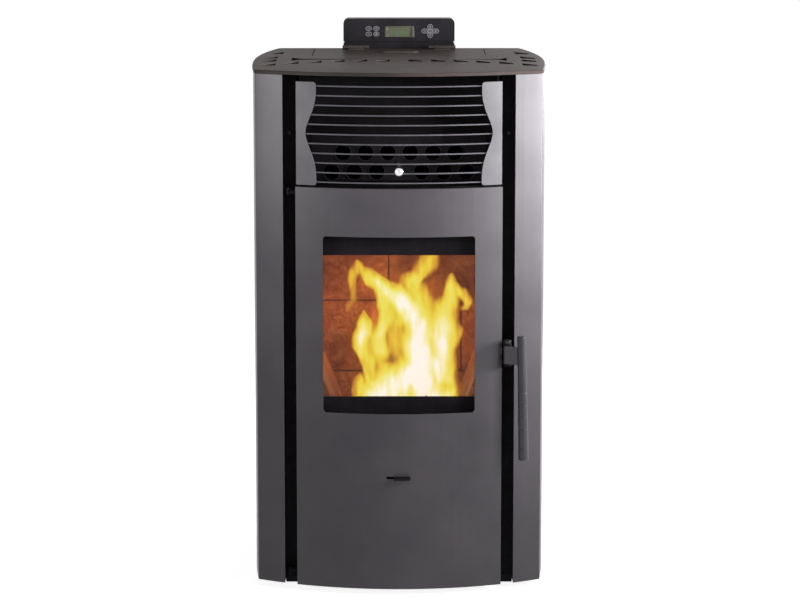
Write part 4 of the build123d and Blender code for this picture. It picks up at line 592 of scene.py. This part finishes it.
def grilleBars():
    tree, given = geometryTree("bowedBars", grille)
    halfDepth = addNode(
        tree, "ShaderNodeMath", {0: given["Bar Depth"], 1: 0.5}, operation="MULTIPLY"
    )
    middle = addNode(
        tree, "ShaderNodeMath", {0: given["Bow Radius"], 1: halfDepth}, operation="SUBTRACT"
    )
    sine = addNode(tree, "ShaderNodeMath", {0: given["Half Width"], 1: middle}, operation="DIVIDE")
    swing = addNode(tree, "ShaderNodeMath", {0: sine}, operation="ARCSINE")
    start = addNode(tree, "ShaderNodeMath", {0: -math.pi / 2, 1: swing}, operation="SUBTRACT")
    sweep = addNode(tree, "ShaderNodeMath", {0: swing, 1: 2.0}, operation="MULTIPLY")
    arc = addNode(
        tree,
        "GeometryNodeCurveArc",
        {"Resolution": 72, "Radius": middle, "Start Angle": start, "Sweep Angle": sweep},
    )
    section = addNode(
        tree,
        "GeometryNodeCurvePrimitiveQuadrilateral",
        {"Width": given["Bar Depth"], "Height": given["Bar Thickness"]},
    )
    eased = addNode(
        tree,
        "GeometryNodeFilletCurve",
        {"Curve": section, "Radius": given["Edge Radius"], "Count": 3},
        mode="POLY",
    )
    bar = addNode(
        tree,
        "GeometryNodeCurveToMesh",
        {"Curve": arc, "Profile Curve": eased, "Fill Caps": True},
    )
    top = addNode(
        tree,
        "ShaderNodeCombineXYZ",
        {"Y": given["Bow Center Y"], "Z": given["Top Bar Height"]},
    )
    drop = addNode(
        tree, "ShaderNodeMath", {0: given["Bar Pitch"], 1: -1.0}, operation="MULTIPLY"
    )
    rows = addNode(
        tree,
        "GeometryNodeMeshLine",
        {
            "Count": given["Bar Count"],
            "Start Location": top,
            "Offset": addNode(tree, "ShaderNodeCombineXYZ", {"Z": drop}),
        },
    )
    bars = addNode(tree, "GeometryNodeInstanceOnPoints", {"Points": rows, "Instance": bar})
    gaps = addNode(tree, "ShaderNodeMath", {0: given["Bar Count"], 1: 1.0}, operation="SUBTRACT")
    reach = addNode(tree, "ShaderNodeMath", {0: given["Bar Pitch"], 1: gaps}, operation="MULTIPLY")
    bottom = addNode(
        tree, "ShaderNodeMath", {0: given["Top Bar Height"], 1: reach}, operation="SUBTRACT"
    )
    joined = [bars]
    for side in (-1.0, 1.0):
        x = addNode(
            tree, "ShaderNodeMath", {0: given["Carrier X"], 1: side}, operation="MULTIPLY"
        )
        upper = {"X": x, "Y": given["Carrier Y"], "Z": given["Top Bar Height"]}
        lower = {"X": x, "Y": given["Carrier Y"], "Z": bottom}
        line = addNode(
            tree,
            "GeometryNodeCurvePrimitiveLine",
            {
                "Start": addNode(tree, "ShaderNodeCombineXYZ", upper),
                "End": addNode(tree, "ShaderNodeCombineXYZ", lower),
            },
        )
        strip = addNode(
            tree,
            "GeometryNodeCurvePrimitiveQuadrilateral",
            {"Width": given["Carrier Width"], "Height": given["Bar Depth"]},
        )
        carrier = addNode(
            tree,
            "GeometryNodeCurveToMesh",
            {"Curve": line, "Profile Curve": strip, "Fill Caps": True},
        )
        joined.append(carrier)
    whole = addNode(tree, "GeometryNodeJoinGeometry", {"Geometry": joined})
    finishTree(tree, whole, litGrilleCoat)
    grown("grilleBars", tree, grille, litGrilleCoat, "grille_bars", "grille_bars")


grilleBars()

tubeBank = {
    "Upper Count": 6,
    "Lower Count": 3,
    "Pitch": 39 * mm,
    "Upper Height": 763.3 * mm,
    "Lower Height": 729.5 * mm,
    "Front Y": -176.6 * mm,
    "Rear Y": 22 * mm,
    "Outer Radius": 15.5 * mm,
    "Wall": 2 * mm,
    "Edge Radius": 0.8 * mm,
}


def exchangerTubes():
    # each tube is its wall's section, eased at the corners and swept round
    tree, given = geometryTree("tubeBank", tubeBank)
    length = addNode(
        tree, "ShaderNodeMath", {0: given["Rear Y"], 1: given["Front Y"]}, operation="SUBTRACT"
    )
    halfWall = addNode(tree, "ShaderNodeMath", {0: given["Wall"], 1: 0.5}, operation="MULTIPLY")
    middle = addNode(
        tree, "ShaderNodeMath", {0: given["Outer Radius"], 1: halfWall}, operation="SUBTRACT"
    )
    circle = addNode(
        tree, "GeometryNodeCurvePrimitiveCircle", {"Resolution": 48, "Radius": middle}
    )
    wall = addNode(
        tree,
        "GeometryNodeCurvePrimitiveQuadrilateral",
        {"Width": given["Wall"], "Height": length},
    )
    softened = addNode(
        tree,
        "GeometryNodeFilletCurve",
        {"Curve": wall, "Radius": given["Edge Radius"], "Count": 3},
        mode="POLY",
    )
    tube = addNode(tree, "GeometryNodeCurveToMesh", {"Curve": circle, "Profile Curve": softened})
    halfLength = addNode(tree, "ShaderNodeMath", {0: length, 1: 0.5}, operation="MULTIPLY")
    centre = addNode(
        tree, "ShaderNodeMath", {0: given["Front Y"], 1: halfLength}, operation="ADD"
    )
    step = addNode(tree, "ShaderNodeCombineXYZ", {"X": given["Pitch"]})
    rows = []
    # start of each row in pitches from the middle: one full row, two short ones beside the rod
    for count, height, first in (
        ("Upper Count", "Upper Height", -2.5),
        ("Lower Count", "Lower Height", -3.0),
        ("Lower Count", "Lower Height", 1.0),
    ):
        x = addNode(tree, "ShaderNodeMath", {0: given["Pitch"], 1: first}, operation="MULTIPLY")
        start = addNode(tree, "ShaderNodeCombineXYZ", {"X": x, "Y": centre, "Z": given[height]})
        row = addNode(
            tree,
            "GeometryNodeMeshLine",
            {"Count": given[count], "Start Location": start, "Offset": step},
        )
        rows.append(row)
    tubes = addNode(
        tree,
        "GeometryNodeInstanceOnPoints",
        {
            "Points": addNode(tree, "GeometryNodeJoinGeometry", {"Geometry": rows}),
            "Instance": tube,
            "Rotation": (math.pi / 2, 0.0, 0.0),
        },
    )
    finishTree(tree, tubes, tubePaint)
    grown("exchangerTubes", tree, tubeBank, tubePaint, "exchanger_tubes", "exchanger_tubes")


exchangerTubes()

pelletBed = {
    "Bed Half Width": 44 * mm,
    "Bed Half Depth": 41 * mm,
    "Bed Y": -60 * mm,
    "Bed Height": 294 * mm,
    "Layers": 4,
    "Layer Gap": 4 * mm,
    "Density": 26000.0,
    "Pellet Radius": 3 * mm,
    "Pellet Length": 13 * mm,
    "Seed": 7,
}


emberLook = {
    "crackMm": 9,
    "char": [(0.4, "#1c1512"), (0.6, "#5b3a26")],
    "glow": [(0.45, "#000000"), (0.62, "#ff6a14")],
    "glowStrength": 2.5,
}


def emberBark():
    # pressed wood pellets, half burnt: charcoal with glowing cracks
    material, tree = newMaterial("glowingPellets")
    where = addNode(tree, "ShaderNodeTexCoord").outputs["Object"]
    cracks = addNode(
        tree,
        "ShaderNodeTexNoise",
        {"Vector": where, "Scale": 1000 / emberLook["crackMm"], "Detail": 4, "Roughness": 0.6},
    )
    finishMaterial(
        tree,
        {
            "Roughness": 0.9,
            "Base Color": addNode(
                tree, "ShaderNodeValToRGB", {"Fac": cracks}, emberLook["char"]
            ),
            "Emission Color": addNode(
                tree, "ShaderNodeValToRGB", {"Fac": cracks}, emberLook["glow"]
            ),
            "Emission Strength": emberLook["glowStrength"],
        },
    )
    return material


def glowingPellets():
    tree, given = geometryTree("pelletBed", pelletBed)
    # the bed fills nine tenths of the pot
    wide, deep = (
        addNode(tree, "ShaderNodeMath", {0: given[half], 1: 1.8}, operation="MULTIPLY")
        for half in ("Bed Half Width", "Bed Half Depth")
    )
    sheetOfBed = addNode(
        tree,
        "GeometryNodeMeshGrid",
        {"Size X": wide, "Size Y": deep, "Vertices X": 2, "Vertices Y": 2},
    )
    lowest = addNode(
        tree, "ShaderNodeCombineXYZ", {"Y": given["Bed Y"], "Z": given["Bed Height"]}
    )
    stackLine = addNode(
        tree,
        "GeometryNodeMeshLine",
        {
            "Count": given["Layers"],
            "Start Location": lowest,
            "Offset": addNode(tree, "ShaderNodeCombineXYZ", {"Z": given["Layer Gap"]}),
        },
    )
    stack = addNode(
        tree, "GeometryNodeInstanceOnPoints", {"Points": stackLine, "Instance": sheetOfBed}
    )
    points = addNode(
        tree,
        "GeometryNodeDistributePointsOnFaces",
        {
            "Mesh": addNode(tree, "GeometryNodeRealizeInstances", {"Geometry": stack}),
            "Density": given["Density"],
            "Seed": given["Seed"],
        },
    )
    pellet = addNode(
        tree,
        "GeometryNodeMeshCylinder",
        {"Vertices": 10, "Radius": given["Pellet Radius"], "Depth": given["Pellet Length"]},
    )
    # they lie nearly flat and point any way
    tumble = addNode(
        tree,
        "FunctionNodeRandomValue",
        {"Min": (1.2, 0.0, 0.0), "Max": (1.9, 0.4, 6.28), "Seed": given["Seed"]},
        data_type="FLOAT_VECTOR",
    )
    bed = addNode(
        tree,
        "GeometryNodeInstanceOnPoints",
        {"Points": points, "Instance": pellet, "Rotation": tumble},
    )
    ember = emberBark()
    finishTree(tree, bed, ember)
    grown("glowingPellets", tree, pelletBed, ember, "burn_pot")


glowingPellets()

screws = {"Head Radius": 3.5 * mm, "Head Height": 2.2 * mm, "Socket Radius": 1.7 * mm, "Steps": 24}
screwPlaces = {
    "postX": 188 * mm,
    "postY": -203.8 * mm,
    "postHeights": (801 * mm,),
    "rearX": 196 * mm,
    "rearY": 250.3 * mm,
    "rearHeights": (40 * mm, 300 * mm, 620 * mm, 880 * mm),
}


def screwMesh():
    # button head with a six-sided socket, turned about Z, head upwards; the outline is in
    # head radii and head heights, from the socket's floor over the rim and down the shank
    outline = [
        (0.0, 0.45),
        (0.486, 0.45),
        (0.5, 0.98),
        (0.72, 0.86),
        (0.92, 0.5),
        (1.0, 0.12),
        (1.0, 0.0),
        (0.51, 0.0),
        (0.51, -2.4),
        (0.0, -2.6),
    ]
    work = bmesh.new()
    rings = []
    steps = screws["Steps"]
    for radius, height in outline:
        r, h = radius * screws["Head Radius"], height * screws["Head Height"]
        if radius == 0:
            rings.append([work.verts.new((0, 0, h))])
            continue
        ring = []
        for step in range(steps):
            turn = 2 * math.pi * step / steps
            reach = r
            if 0.45 <= height < 1 and radius < 0.6:
                # the socket: reach to the flat of its hexagon
                local = (turn + math.pi / 6) % (math.pi / 3) - math.pi / 6
                reach = screws["Socket Radius"] * math.cos(math.pi / 6) / math.cos(local)
            ring.append(work.verts.new((reach * math.cos(turn), reach * math.sin(turn), h)))
        rings.append(ring)
    for lower, upper in zip(rings, rings[1:]):
        for step in range(steps):
            after = (step + 1) % steps
            if len(lower) == 1:
                work.faces.new((lower[0], upper[after], upper[step]))
            elif len(upper) == 1:
                work.faces.new((lower[step], lower[after], upper[0]))
            else:
                work.faces.new((lower[step], lower[after], upper[after], upper[step]))
    bmesh.ops.recalc_face_normals(work, faces=work.faces)
    mesh = bpy.data.meshes.new("screw")
    work.to_mesh(mesh)
    work.free()
    return mesh


def casingScrews():
    tree, given = geometryTree("casingScrews", {"Size": 1.0})
    pattern = bpy.data.objects.new("screwPattern", screwMesh())
    bpy.context.scene.collection.objects.link(pattern)
    source = addNode(tree, "GeometryNodeObjectInfo", {"Object": pattern}).outputs["Geometry"]
    placed = []
    for x, y, heights, turn in (
        (screwPlaces["postX"], screwPlaces["postY"], screwPlaces["postHeights"], math.pi / 2),
        (screwPlaces["rearX"], screwPlaces["rearY"], screwPlaces["rearHeights"], -math.pi / 2),
    ):
        for side in (-1, 1):
            for height in heights:
                point = addNode(
                    tree,
                    "GeometryNodeMeshLine",
                    {"Count": 1, "Start Location": (side * x, y, height)},
                )
                screw = addNode(
                    tree,
                    "GeometryNodeInstanceOnPoints",
                    {
                        "Points": point,
                        "Instance": source,
                        "Rotation": (turn, 0.0, 0.0),
                        "Scale": given["Size"],
                    },
                )
                placed.append(screw)
    whole = addNode(tree, "GeometryNodeJoinGeometry", {"Geometry": placed})
    finishTree(tree, whole, zincBlack)
    grown("casingScrews", tree, {"Size": 1.0}, zincBlack, "fasteners", "fasteners")
    bpy.data.objects.remove(pattern)


casingScrews()
print("repeated pieces done")

keyPrint = {"lineMm": 0.75, "proudMm": 0.06, "sunkMm": 0.02}


def ringSign(radius, steps=16):
    return [
        (radius * math.cos(2 * math.pi * k / steps), radius * math.sin(2 * math.pi * k / steps))
        for k in range(steps)
    ]


def barSign(halfWide, halfHigh, x=0.0):
    left, right = x - halfWide, x + halfWide
    return [(left, -halfHigh), (right, -halfHigh), (right, halfHigh), (left, halfHigh)]


# plain signs, each a list of outlines in millimetres from the middle of the key
keyMarks = {
    "round_key_1": [barSign(1.6, 0.35)],
    "round_key_2": [barSign(0.4, 1.2, -0.8), barSign(0.4, 1.2, 0.8)],
    "round_key_3": [barSign(0.35, 1.2)],
    "round_key_4": [ringSign(1.7)],
    "up_key": [[(-1.7, -1.0), (1.7, -1.0), (0, 1.7)]],
    "down_key": [[(-1.7, 1.0), (0, -1.7), (1.7, 1.0)]],
    "minus_key": [barSign(1.7, 0.4)],
    "plus_key": [barSign(1.7, 0.4), barSign(0.4, 1.7)],
    "centre_key": [ringSign(0.8)],
}

inkLook = {"patchMm": 2, "fleck": 0.06, "grainMm": 0.9, "gloss": (0.45, 0.6)}


def printedInk(name, colour):
    # pad-printed ink on the moulded key: a shade rougher than the plastic, faintly flecked
    material, tree = newMaterial(name)
    where = addNode(tree, "ShaderNodeTexCoord").outputs["Object"]
    patches, grain = (
        addNode(
            tree,
            "ShaderNodeTexNoise",
            {"Vector": where, "Scale": 1000 / inkLook[size], "Detail": 2, "Roughness": 0.5},
        )
        for size in ("patchMm", "grainMm")
    )
    stops = [(0.3, colour), (0.7, "#ffffff")]
    flecks = addNode(tree, "ShaderNodeValToRGB", {"Fac": patches}, stops)
    mixed = addNode(
        tree,
        "ShaderNodeMix",
        {"Factor": inkLook["fleck"], 6: linearColour(colour), 7: flecks},
        data_type="RGBA",
    ).outputs[2]
    low, high = inkLook["gloss"]
    gloss = addNode(tree, "ShaderNodeMapRange", {"Value": grain, "To Min": low, "To Max": high})
    finishMaterial(tree, {"IOR": 1.5, "Base Color": mixed, "Roughness": gloss})
    return material


def printKey(node, rimInk, signInk):
    # an outline just inside the key's edge and its sign in the middle
    work = bmesh.new()
    work.from_mesh(nodes[node].data)
    bmesh.ops.remove_doubles(work, verts=work.verts, dist=dressing["mergeAt"])
    front = min(vert.co.y for vert in work.verts)
    nearFront = front + 0.1 * mm
    face = [
        f for f in work.faces if f.normal.y < -0.99 and f.calc_center_median().y < nearFront
    ]
    xs = [v.co.x for f in face for v in f.verts]
    zs = [v.co.z for f in face for v in f.verts]
    middle = ((min(xs) + max(xs)) / 2, (min(zs) + max(zs)) / 2)
    rim = bmesh.ops.inset_region(
        work, faces=face, thickness=keyPrint["lineMm"] * mm, use_even_offset=True
    )
    keep = set(rim["faces"])
    bmesh.ops.delete(work, geom=[f for f in work.faces if f not in keep], context="FACES")
    for outline in keyMarks[node]:
        corners = [(middle[0] + x * mm, front, middle[1] + z * mm) for x, z in outline]
        sign = work.faces.new([work.verts.new(corner) for corner in corners])
        sign.normal_update()
        if sign.normal.y > 0:
            sign.normal_flip()
        sign.material_index = 1
    for vert in work.verts:
        vert.co.y = front - keyPrint["sunkMm"] * mm
    raised = bmesh.ops.extrude_face_region(work, geom=work.faces[:])
    for item in raised["geom"]:
        if isinstance(item, bmesh.types.BMVert):
            item.co.y -= keyPrint["proudMm"] * mm
    bmesh.ops.recalc_face_normals(work, faces=work.faces)
    mesh = bpy.data.meshes.new(node + "Print")
    work.to_mesh(mesh)
    work.free()
    obj = meshObject(node + "Print", mesh, rimInk)
    mesh.materials.append(signInk)
    place(obj, node)


greyInk = printedInk("greyKeyInk", "#7d797f")
whiteInk = printedInk("whiteKeyInk", "#e9e8ec")
softInk = printedInk("softKeyInk", "#5d595f")
brightKeys = ("round_key_4", "up_key", "down_key")
for node in keyMarks:
    printKey(node, greyInk, whiteInk if node in brightKeys else softInk)
print("key prints done")


# strokes of burning gas seen from the front, in millimetres: x, height, half width and heat
fireStrokes = {
    "core": [
        (36, 300, 34, 0.9), (34, 340, 27, 1.02), (36, 380, 25, 1.08), (36, 415, 23, 1.06),
        (32, 446, 20, 1.0), (16, 474, 17, 0.96), (-4, 494, 16, 0.9), (-28, 510, 14, 0.82),
        (-50, 524, 9, 0.66), (-66, 540, 7, 0.5), (-74, 556, 4, 0.3),
    ],
    "leftArm": [
        (-73, 554, 6, 0.4), (-80, 532, 8, 0.42), (-82, 506, 8, 0.36), (-85, 484, 7, 0.3),
        (-90, 468, 4, 0.2), (-80, 455, 2, 0.12),
    ],
    "crestBlob": [
        (30, 500, 18, 0.6), (24, 524, 16, 0.55), (40, 538, 15, 0.5), (52, 554, 15, 0.48),
        (58, 568, 11, 0.42),
    ],
    "crestHook": [(26, 530, 9, 0.5), (38, 526, 7, 0.48), (46, 529, 4, 0.35)],
    "rightBody": [
        (72, 300, 26, 0.82), (74, 340, 24, 0.8), (72, 375, 19, 0.92), (78, 410, 19, 0.98),
        (80, 440, 19, 0.8), (84, 470, 17, 0.7), (90, 500, 12, 0.56), (95, 522, 7, 0.4),
        (96, 530, 3, 0.25),
    ],
    "rightCurl": [
        (94, 508, 11, 0.5), (110, 498, 12, 0.48), (120, 486, 9, 0.46), (120, 474, 6, 0.4),
        (112, 468, 4, 0.3),
    ],
    "rightLick": [(84, 404, 12, 0.5), (98, 420, 11, 0.42), (106, 432, 8, 0.35), (104, 446, 4, 0.2)],
    "bridge": [(40, 474, 20, 0.66), (54, 456, 18, 0.6), (66, 436, 16, 0.7)],
    "middle": [
        (-30, 496, 14, 0.75), (-24, 470, 13, 0.68), (-28, 446, 12, 0.7), (-36, 420, 13, 0.74),
        (-36, 396, 15, 0.7), (-28, 372, 14, 0.62), (-14, 352, 18, 0.68),
    ],
    "veil": [(-8, 460, 15, 0.52), (-4, 430, 16, 0.5), (-4, 400, 17, 0.44), (-6, 372, 17, 0.42)],
    "leftTongue": [
        (-44, 356, 6, 0.5), (-54, 380, 9, 0.55), (-66, 404, 12, 0.66), (-66, 426, 13, 0.95),
        (-62, 443, 11, 0.7), (-60, 456, 6, 0.42),
    ],
    "leftStreak": [(-70, 400, 7, 0.5), (-66, 380, 6, 0.5), (-58, 362, 6, 0.5), (-48, 344, 8, 0.6)],
    "base": [
        (-66, 302, 16, 0.75), (-46, 316, 24, 0.9), (-20, 330, 26, 0.92), (6, 340, 26, 0.96),
        (36, 344, 24, 1.0),
    ],
    "baseLow": [
        (-60, 298, 14, 0.8), (-30, 300, 22, 0.95), (0, 300, 22, 0.86), (40, 298, 26, 0.84),
        (72, 298, 24, 0.9),
    ],
    "leftFoot": [
        (-50, 320, 16, 0.6), (-66, 334, 16, 0.5), (-72, 330, 12, 0.44), (-78, 318, 6, 0.3),
    ],
    "rightFoot": [(78, 306, 16, 0.7), (90, 328, 10, 0.62), (91, 346, 8, 0.56), (84, 362, 9, 0.6)],
}
# the same for the gaps between them, where the heat is taken away
fireHoles = {
    "amber": [(-24, 376, 13, 0.24), (-26, 364, 10, 0.1)],
    "dark": [(2, 434, 7, 0.12), (-4, 410, 6, 0.04)],
    "seam": [(22, 330, 8, 0.26), (20, 306, 8, 0.34)],
    "ring": [(82, 332, 9, 0.3), (80, 318, 7, 0.2)],
    "notch": [(-58, 488, 12, 0.5), (-46, 468, 10, 0.4)],
}
fireLook = {
    "stepMm": 1.8,
    "widen": 1.17,
    "softReach": 1.5,
    "melt": 3.2,
    "left": -118,
    "right": 142,
    "low": 292,
    "high": 576,
    "middleY": -62,
    "puffMm": 17,
    "raggedMm": 4.0,
    "raggedFromMm": 60,
    "fadeMm": 10,
    "waverMm": 9,
    "forwardMm": 12,
    "forwardHighMm": 90,
    "streakMm": 20,
    "streakStretch": (2.2, 1.0, 0.55),
    "streakDepth": 0.55,
    "shownFrom": 0.08,
    "shownTo": 0.5,
    "strength": 1.0,
    "colours": [
        (0.12, "#b0601c"),
        (0.27, "#d2942a"),
        (0.41, "#e2b832"),
        (0.55, "#ead742"),
        (0.71, "#f0e46e"),
        (0.86, "#f7efb0"),
        (1.0, "#fffaf0"),
    ],
}


def gasHeat(x, z, strokes):
    # strongest stroke at this place, rounded so that strokes melt into each other
    reach, melt = fireLook["softReach"], fireLook["melt"]
    total = 0.0
    for points in strokes.values():
        best = 0.0
        for (x0, z0, w0, h0), (x1, z1, w1, h1) in zip(points, points[1:]):
            dx, dz = x1 - x0, z1 - z0
            t = max(0.0, min(1.0, ((x - x0) * dx + (z - z0) * dz) / (dx * dx + dz * dz)))
            wide = fireLook["widen"] * (w0 + t * (w1 - w0))
            away = math.hypot(x - x0 - t * dx, z - z0 - t * dz) / wide
            if away < reach:
                best = max(best, (h0 + t * (h1 - h0)) * (1 - (away / reach) ** 2) ** 1.5)
        total += best**melt
    return total ** (1 / melt)


def flameMaterial():
    # burning gas: white-hot core, yellow body and an amber skin that fades out
    material, tree = newMaterial("flame")
    where = addNode(tree, "ShaderNodeTexCoord").outputs["Object"]
    heat = addNode(tree, "ShaderNodeAttribute", attribute_name="flameHeat").outputs["Fac"]
    # streaks drawn out upwards, about 9 mm apart
    drawn = addNode(
        tree, "ShaderNodeMapping", {"Vector": where, "Scale": fireLook["streakStretch"]}
    )
    streaks = addNode(
        tree,
        "ShaderNodeTexNoise",
        {"Vector": drawn, "Scale": 1000 / fireLook["streakMm"], "Detail": 3, "Roughness": 0.5},
    )
    centred = addNode(tree, "ShaderNodeMath", {0: streaks, 1: 0.5}, operation="SUBTRACT")
    lean = addNode(
        tree,
        "ShaderNodeMath",
        {0: centred, 1: fireLook["streakDepth"]},
        operation="MULTIPLY",
    )
    licked = addNode(tree, "ShaderNodeMath", {0: heat, 1: lean}, operation="ADD")
    colour = addNode(tree, "ShaderNodeValToRGB", {"Fac": licked}, fireLook["colours"])
    shown = addNode(
        tree,
        "ShaderNodeMapRange",
        {
            "Value": licked,
            "From Min": fireLook["shownFrom"],
            "From Max": fireLook["shownTo"],
        },
        interpolation_type="SMOOTHSTEP",
    )
    light = addNode(
        tree, "ShaderNodeEmission", {"Color": colour, "Strength": fireLook["strength"]}
    )
    clear = addNode(tree, "ShaderNodeBsdfTransparent")
    mixed = addNode(tree, "ShaderNodeMixShader", {0: shown, 1: clear, 2: light})
    addNode(tree, "ShaderNodeOutputMaterial", {"Surface": mixed})
    return material


def makeFire():
    # one puffed body: the heat sets how far it swells forwards and backwards
    step = fireLook["stepMm"]
    columns = int((fireLook["right"] - fireLook["left"]) / step)
    rows = int((fireLook["high"] - fireLook["low"]) / step)
    heatAt = {}
    for i in range(columns + 1):
        for j in range(rows + 1):
            x, z = fireLook["left"] + i * step, fireLook["low"] + j * step
            # the edges waver, so that no stroke looks drawn
            above = z - fireLook["low"]
            sway = fireLook["raggedMm"] * min(1, above / fireLook["raggedFromMm"])
            u = x + sway * math.sin(z / 9.0 + math.sin(x / 14)) * 0.6
            v = z + sway * math.sin(x / 7.0 + z / 23)
            heat = gasHeat(u, v, fireStrokes) - gasHeat(u, v, fireHoles)
            fade = max(0.0, min(1.0, (fireLook["high"] - z) / fireLook["fadeMm"]))
            heatAt[i, j] = max(0.0, heat * fade)
    work = bmesh.new()
    heatLayer = work.verts.layers.float.new("flameHeat")
    for side in (-1, 1):
        verts = {}

        def vertAt(i, j):
            if (i, j) not in verts:
                x, z = fireLook["left"] + i * step, fireLook["low"] + j * step
                heat = heatAt[i, j]
                puff = fireLook["puffMm"] * min(1.0, heat) ** 0.7
                above = z - fireLook["low"]
                middle = fireLook["middleY"] + fireLook["waverMm"] * math.sin(x / 34 + z / 52)
                middle -= fireLook["forwardMm"] * max(0.0, 1 - above / fireLook["forwardHighMm"])
                vert = work.verts.new((x * mm, (middle + side * puff) * mm, z * mm))
                vert[heatLayer] = heat
                verts[i, j] = vert
            return verts[i, j]

        for i in range(columns):
            for j in range(rows):
                corners = [(i, j), (i + 1, j), (i + 1, j + 1), (i, j + 1)]
                if max(heatAt[c] for c in corners) > 0.0:
                    face = [vertAt(*c) for c in corners]
                    work.faces.new(face if side < 0 else face[::-1])
    bmesh.ops.remove_doubles(work, verts=work.verts, dist=dressing["mergeAt"])
    mesh = bpy.data.meshes.new("fire")
    work.to_mesh(mesh)
    work.free()
    mesh.shade_smooth()
    obj = meshObject("fire", mesh, flameMaterial())
    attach(obj, bodyOf["burn_pot"])


makeFire()
print("fire done")


stage = {"floorHalf": 30.0, "floorTone": "#f2f2f2", "floorWhite": 0.9, "ambient": 0.07}


def seenDirectly(tree):
    # 1 to the camera, in mirrors and through glass, else 0
    path = addNode(tree, "ShaderNodeLightPath").outputs
    seen = addNode(
        tree,
        "ShaderNodeMath",
        {0: path["Is Camera Ray"], 1: path["Is Transmission Ray"]},
        operation="MAXIMUM",
    )
    return addNode(
        tree, "ShaderNodeMath", {0: seen, 1: path["Is Glossy Ray"]}, operation="MAXIMUM"
    )


def paleFloor():
    # white where it's seen; the shaded floor is added, so a shadow shows
    half = stage["floorHalf"]
    corners = [(-half, -half, 0), (half, -half, 0), (half, half, 0), (-half, half, 0)]
    mesh = bpy.data.meshes.new("floor")
    mesh.from_pydata(corners, [], [(0, 1, 2, 3)])
    material, tree = newMaterial("paleFloor")
    shaded = addNode(
        tree,
        "ShaderNodeBsdfPrincipled",
        {"Roughness": 0.8, "Base Color": linearColour(stage["floorTone"])},
    )
    strength = addNode(
        tree,
        "ShaderNodeMath",
        {0: seenDirectly(tree), 1: stage["floorWhite"]},
        operation="MULTIPLY",
    )
    white = addNode(tree, "ShaderNodeEmission", {"Color": (1, 1, 1, 1), "Strength": strength})
    both = addNode(tree, "ShaderNodeAddShader", {0: shaded, 1: white})
    addNode(tree, "ShaderNodeOutputMaterial", {"Surface": both})
    meshObject("floor", mesh, material)


def studioWorld():
    # white where it's seen, dim as a light
    world = bpy.data.worlds.new("studio")
    bpy.context.scene.world = world
    world.use_nodes = True
    tree = world.node_tree
    tree.nodes.clear()
    dim, bright = (
        addNode(tree, "ShaderNodeBackground", {"Color": (1, 1, 1, 1), "Strength": strength})
        for strength in (stage["ambient"], 1.0)
    )
    mixed = addNode(tree, "ShaderNodeMixShader", {0: seenDirectly(tree), 1: dim, 2: bright})
    addNode(tree, "ShaderNodeOutputWorld", {"Surface": mixed})


paleFloor()
studioWorld()

lamps = {
    "rightBox": {
        "at": (1.45, -1.0, 1.25),
        "aim": (0.1, -0.2, 0.6),
        "wide": 0.7,
        "high": 1.4,
        "power": 10.65,
        "beam": 180,
    },
    "rightHigh": {
        "at": (1.3, -1.1, 1.0),
        "aim": (0.1, -0.25, 0.85),
        "wide": 0.5,
        "high": 0.5,
        "power": 4.55,
        "beam": 80,
    },
    "leftTight": {
        "at": (-1.3, -1.1, 1.0),
        "aim": (-0.1, -0.25, 0.85),
        "wide": 0.5,
        "high": 0.5,
        "power": 1.55,
        "beam": 50,
    },
    "rightSide": {
        "at": (1.7, -0.35, 1.0),
        "aim": (0.25, -0.15, 0.85),
        "wide": 0.5,
        "high": 0.6,
        "power": 8.4,
        "beam": 45,
    },
    "rearBox": {
        "at": (0.9, 1.9, 1.2),
        "aim": (0, 0.2, 0.45),
        "wide": 0.9,
        "high": 1.2,
        "power": 22,
        "beam": 180,
    },
}
for name, lamp in lamps.items():
    data = bpy.data.lights.new(name, "AREA")
    data.energy = lamp["power"]
    data.shape = "RECTANGLE"
    data.size, data.size_y = lamp["wide"], lamp["high"]
    data.spread = math.radians(lamp["beam"])
    light = bpy.data.objects.new(name, data)
    light.location = lamp["at"]
    aim = Vector(lamp["aim"]) - light.location
    light.rotation_euler = aim.to_track_quat("-Z", "Y").to_euler()
    bpy.context.scene.collection.objects.link(light)

glow = {"at": (0, -0.05, 0.46), "power": 1.0, "colour": "#ffcf9c", "radius": 0.05}


def fireGlow():
    # the light that the fire throws on the lining; the lamp itself is never seen
    data = bpy.data.lights.new("fireGlow", "POINT")
    data.energy = glow["power"]
    data.color = linearColour(glow["colour"])[:3]
    data.shadow_soft_size = glow["radius"]
    light = bpy.data.objects.new("fireGlow", data)
    light.location = glow["at"]
    light.visible_camera = False
    light.visible_glossy = False
    light.visible_transmission = False
    bpy.context.scene.collection.objects.link(light)


fireGlow()

cameraLook = {
    "at": (0, -5.204, 1.355),
    "tiltDown": 8.81,
    "lens": 131.66,
    "sensorMm": 36,
    "shift": (0.00125, -0.05),
}


def frontCamera():
    data = bpy.data.cameras.new("camera")
    data.lens = cameraLook["lens"]
    data.sensor_width = cameraLook["sensorMm"]
    data.shift_x, data.shift_y = cameraLook["shift"]
    camera = bpy.data.objects.new("camera", data)
    camera.location = cameraLook["at"]
    camera.rotation_euler = (math.radians(90 - cameraLook["tiltDown"]), 0, 0)
    bpy.context.scene.collection.objects.link(camera)
    bpy.context.scene.camera = camera


frontCamera()
bpy.context.scene.view_settings.view_transform = "Standard"
print("floor, world, lamps and camera done")
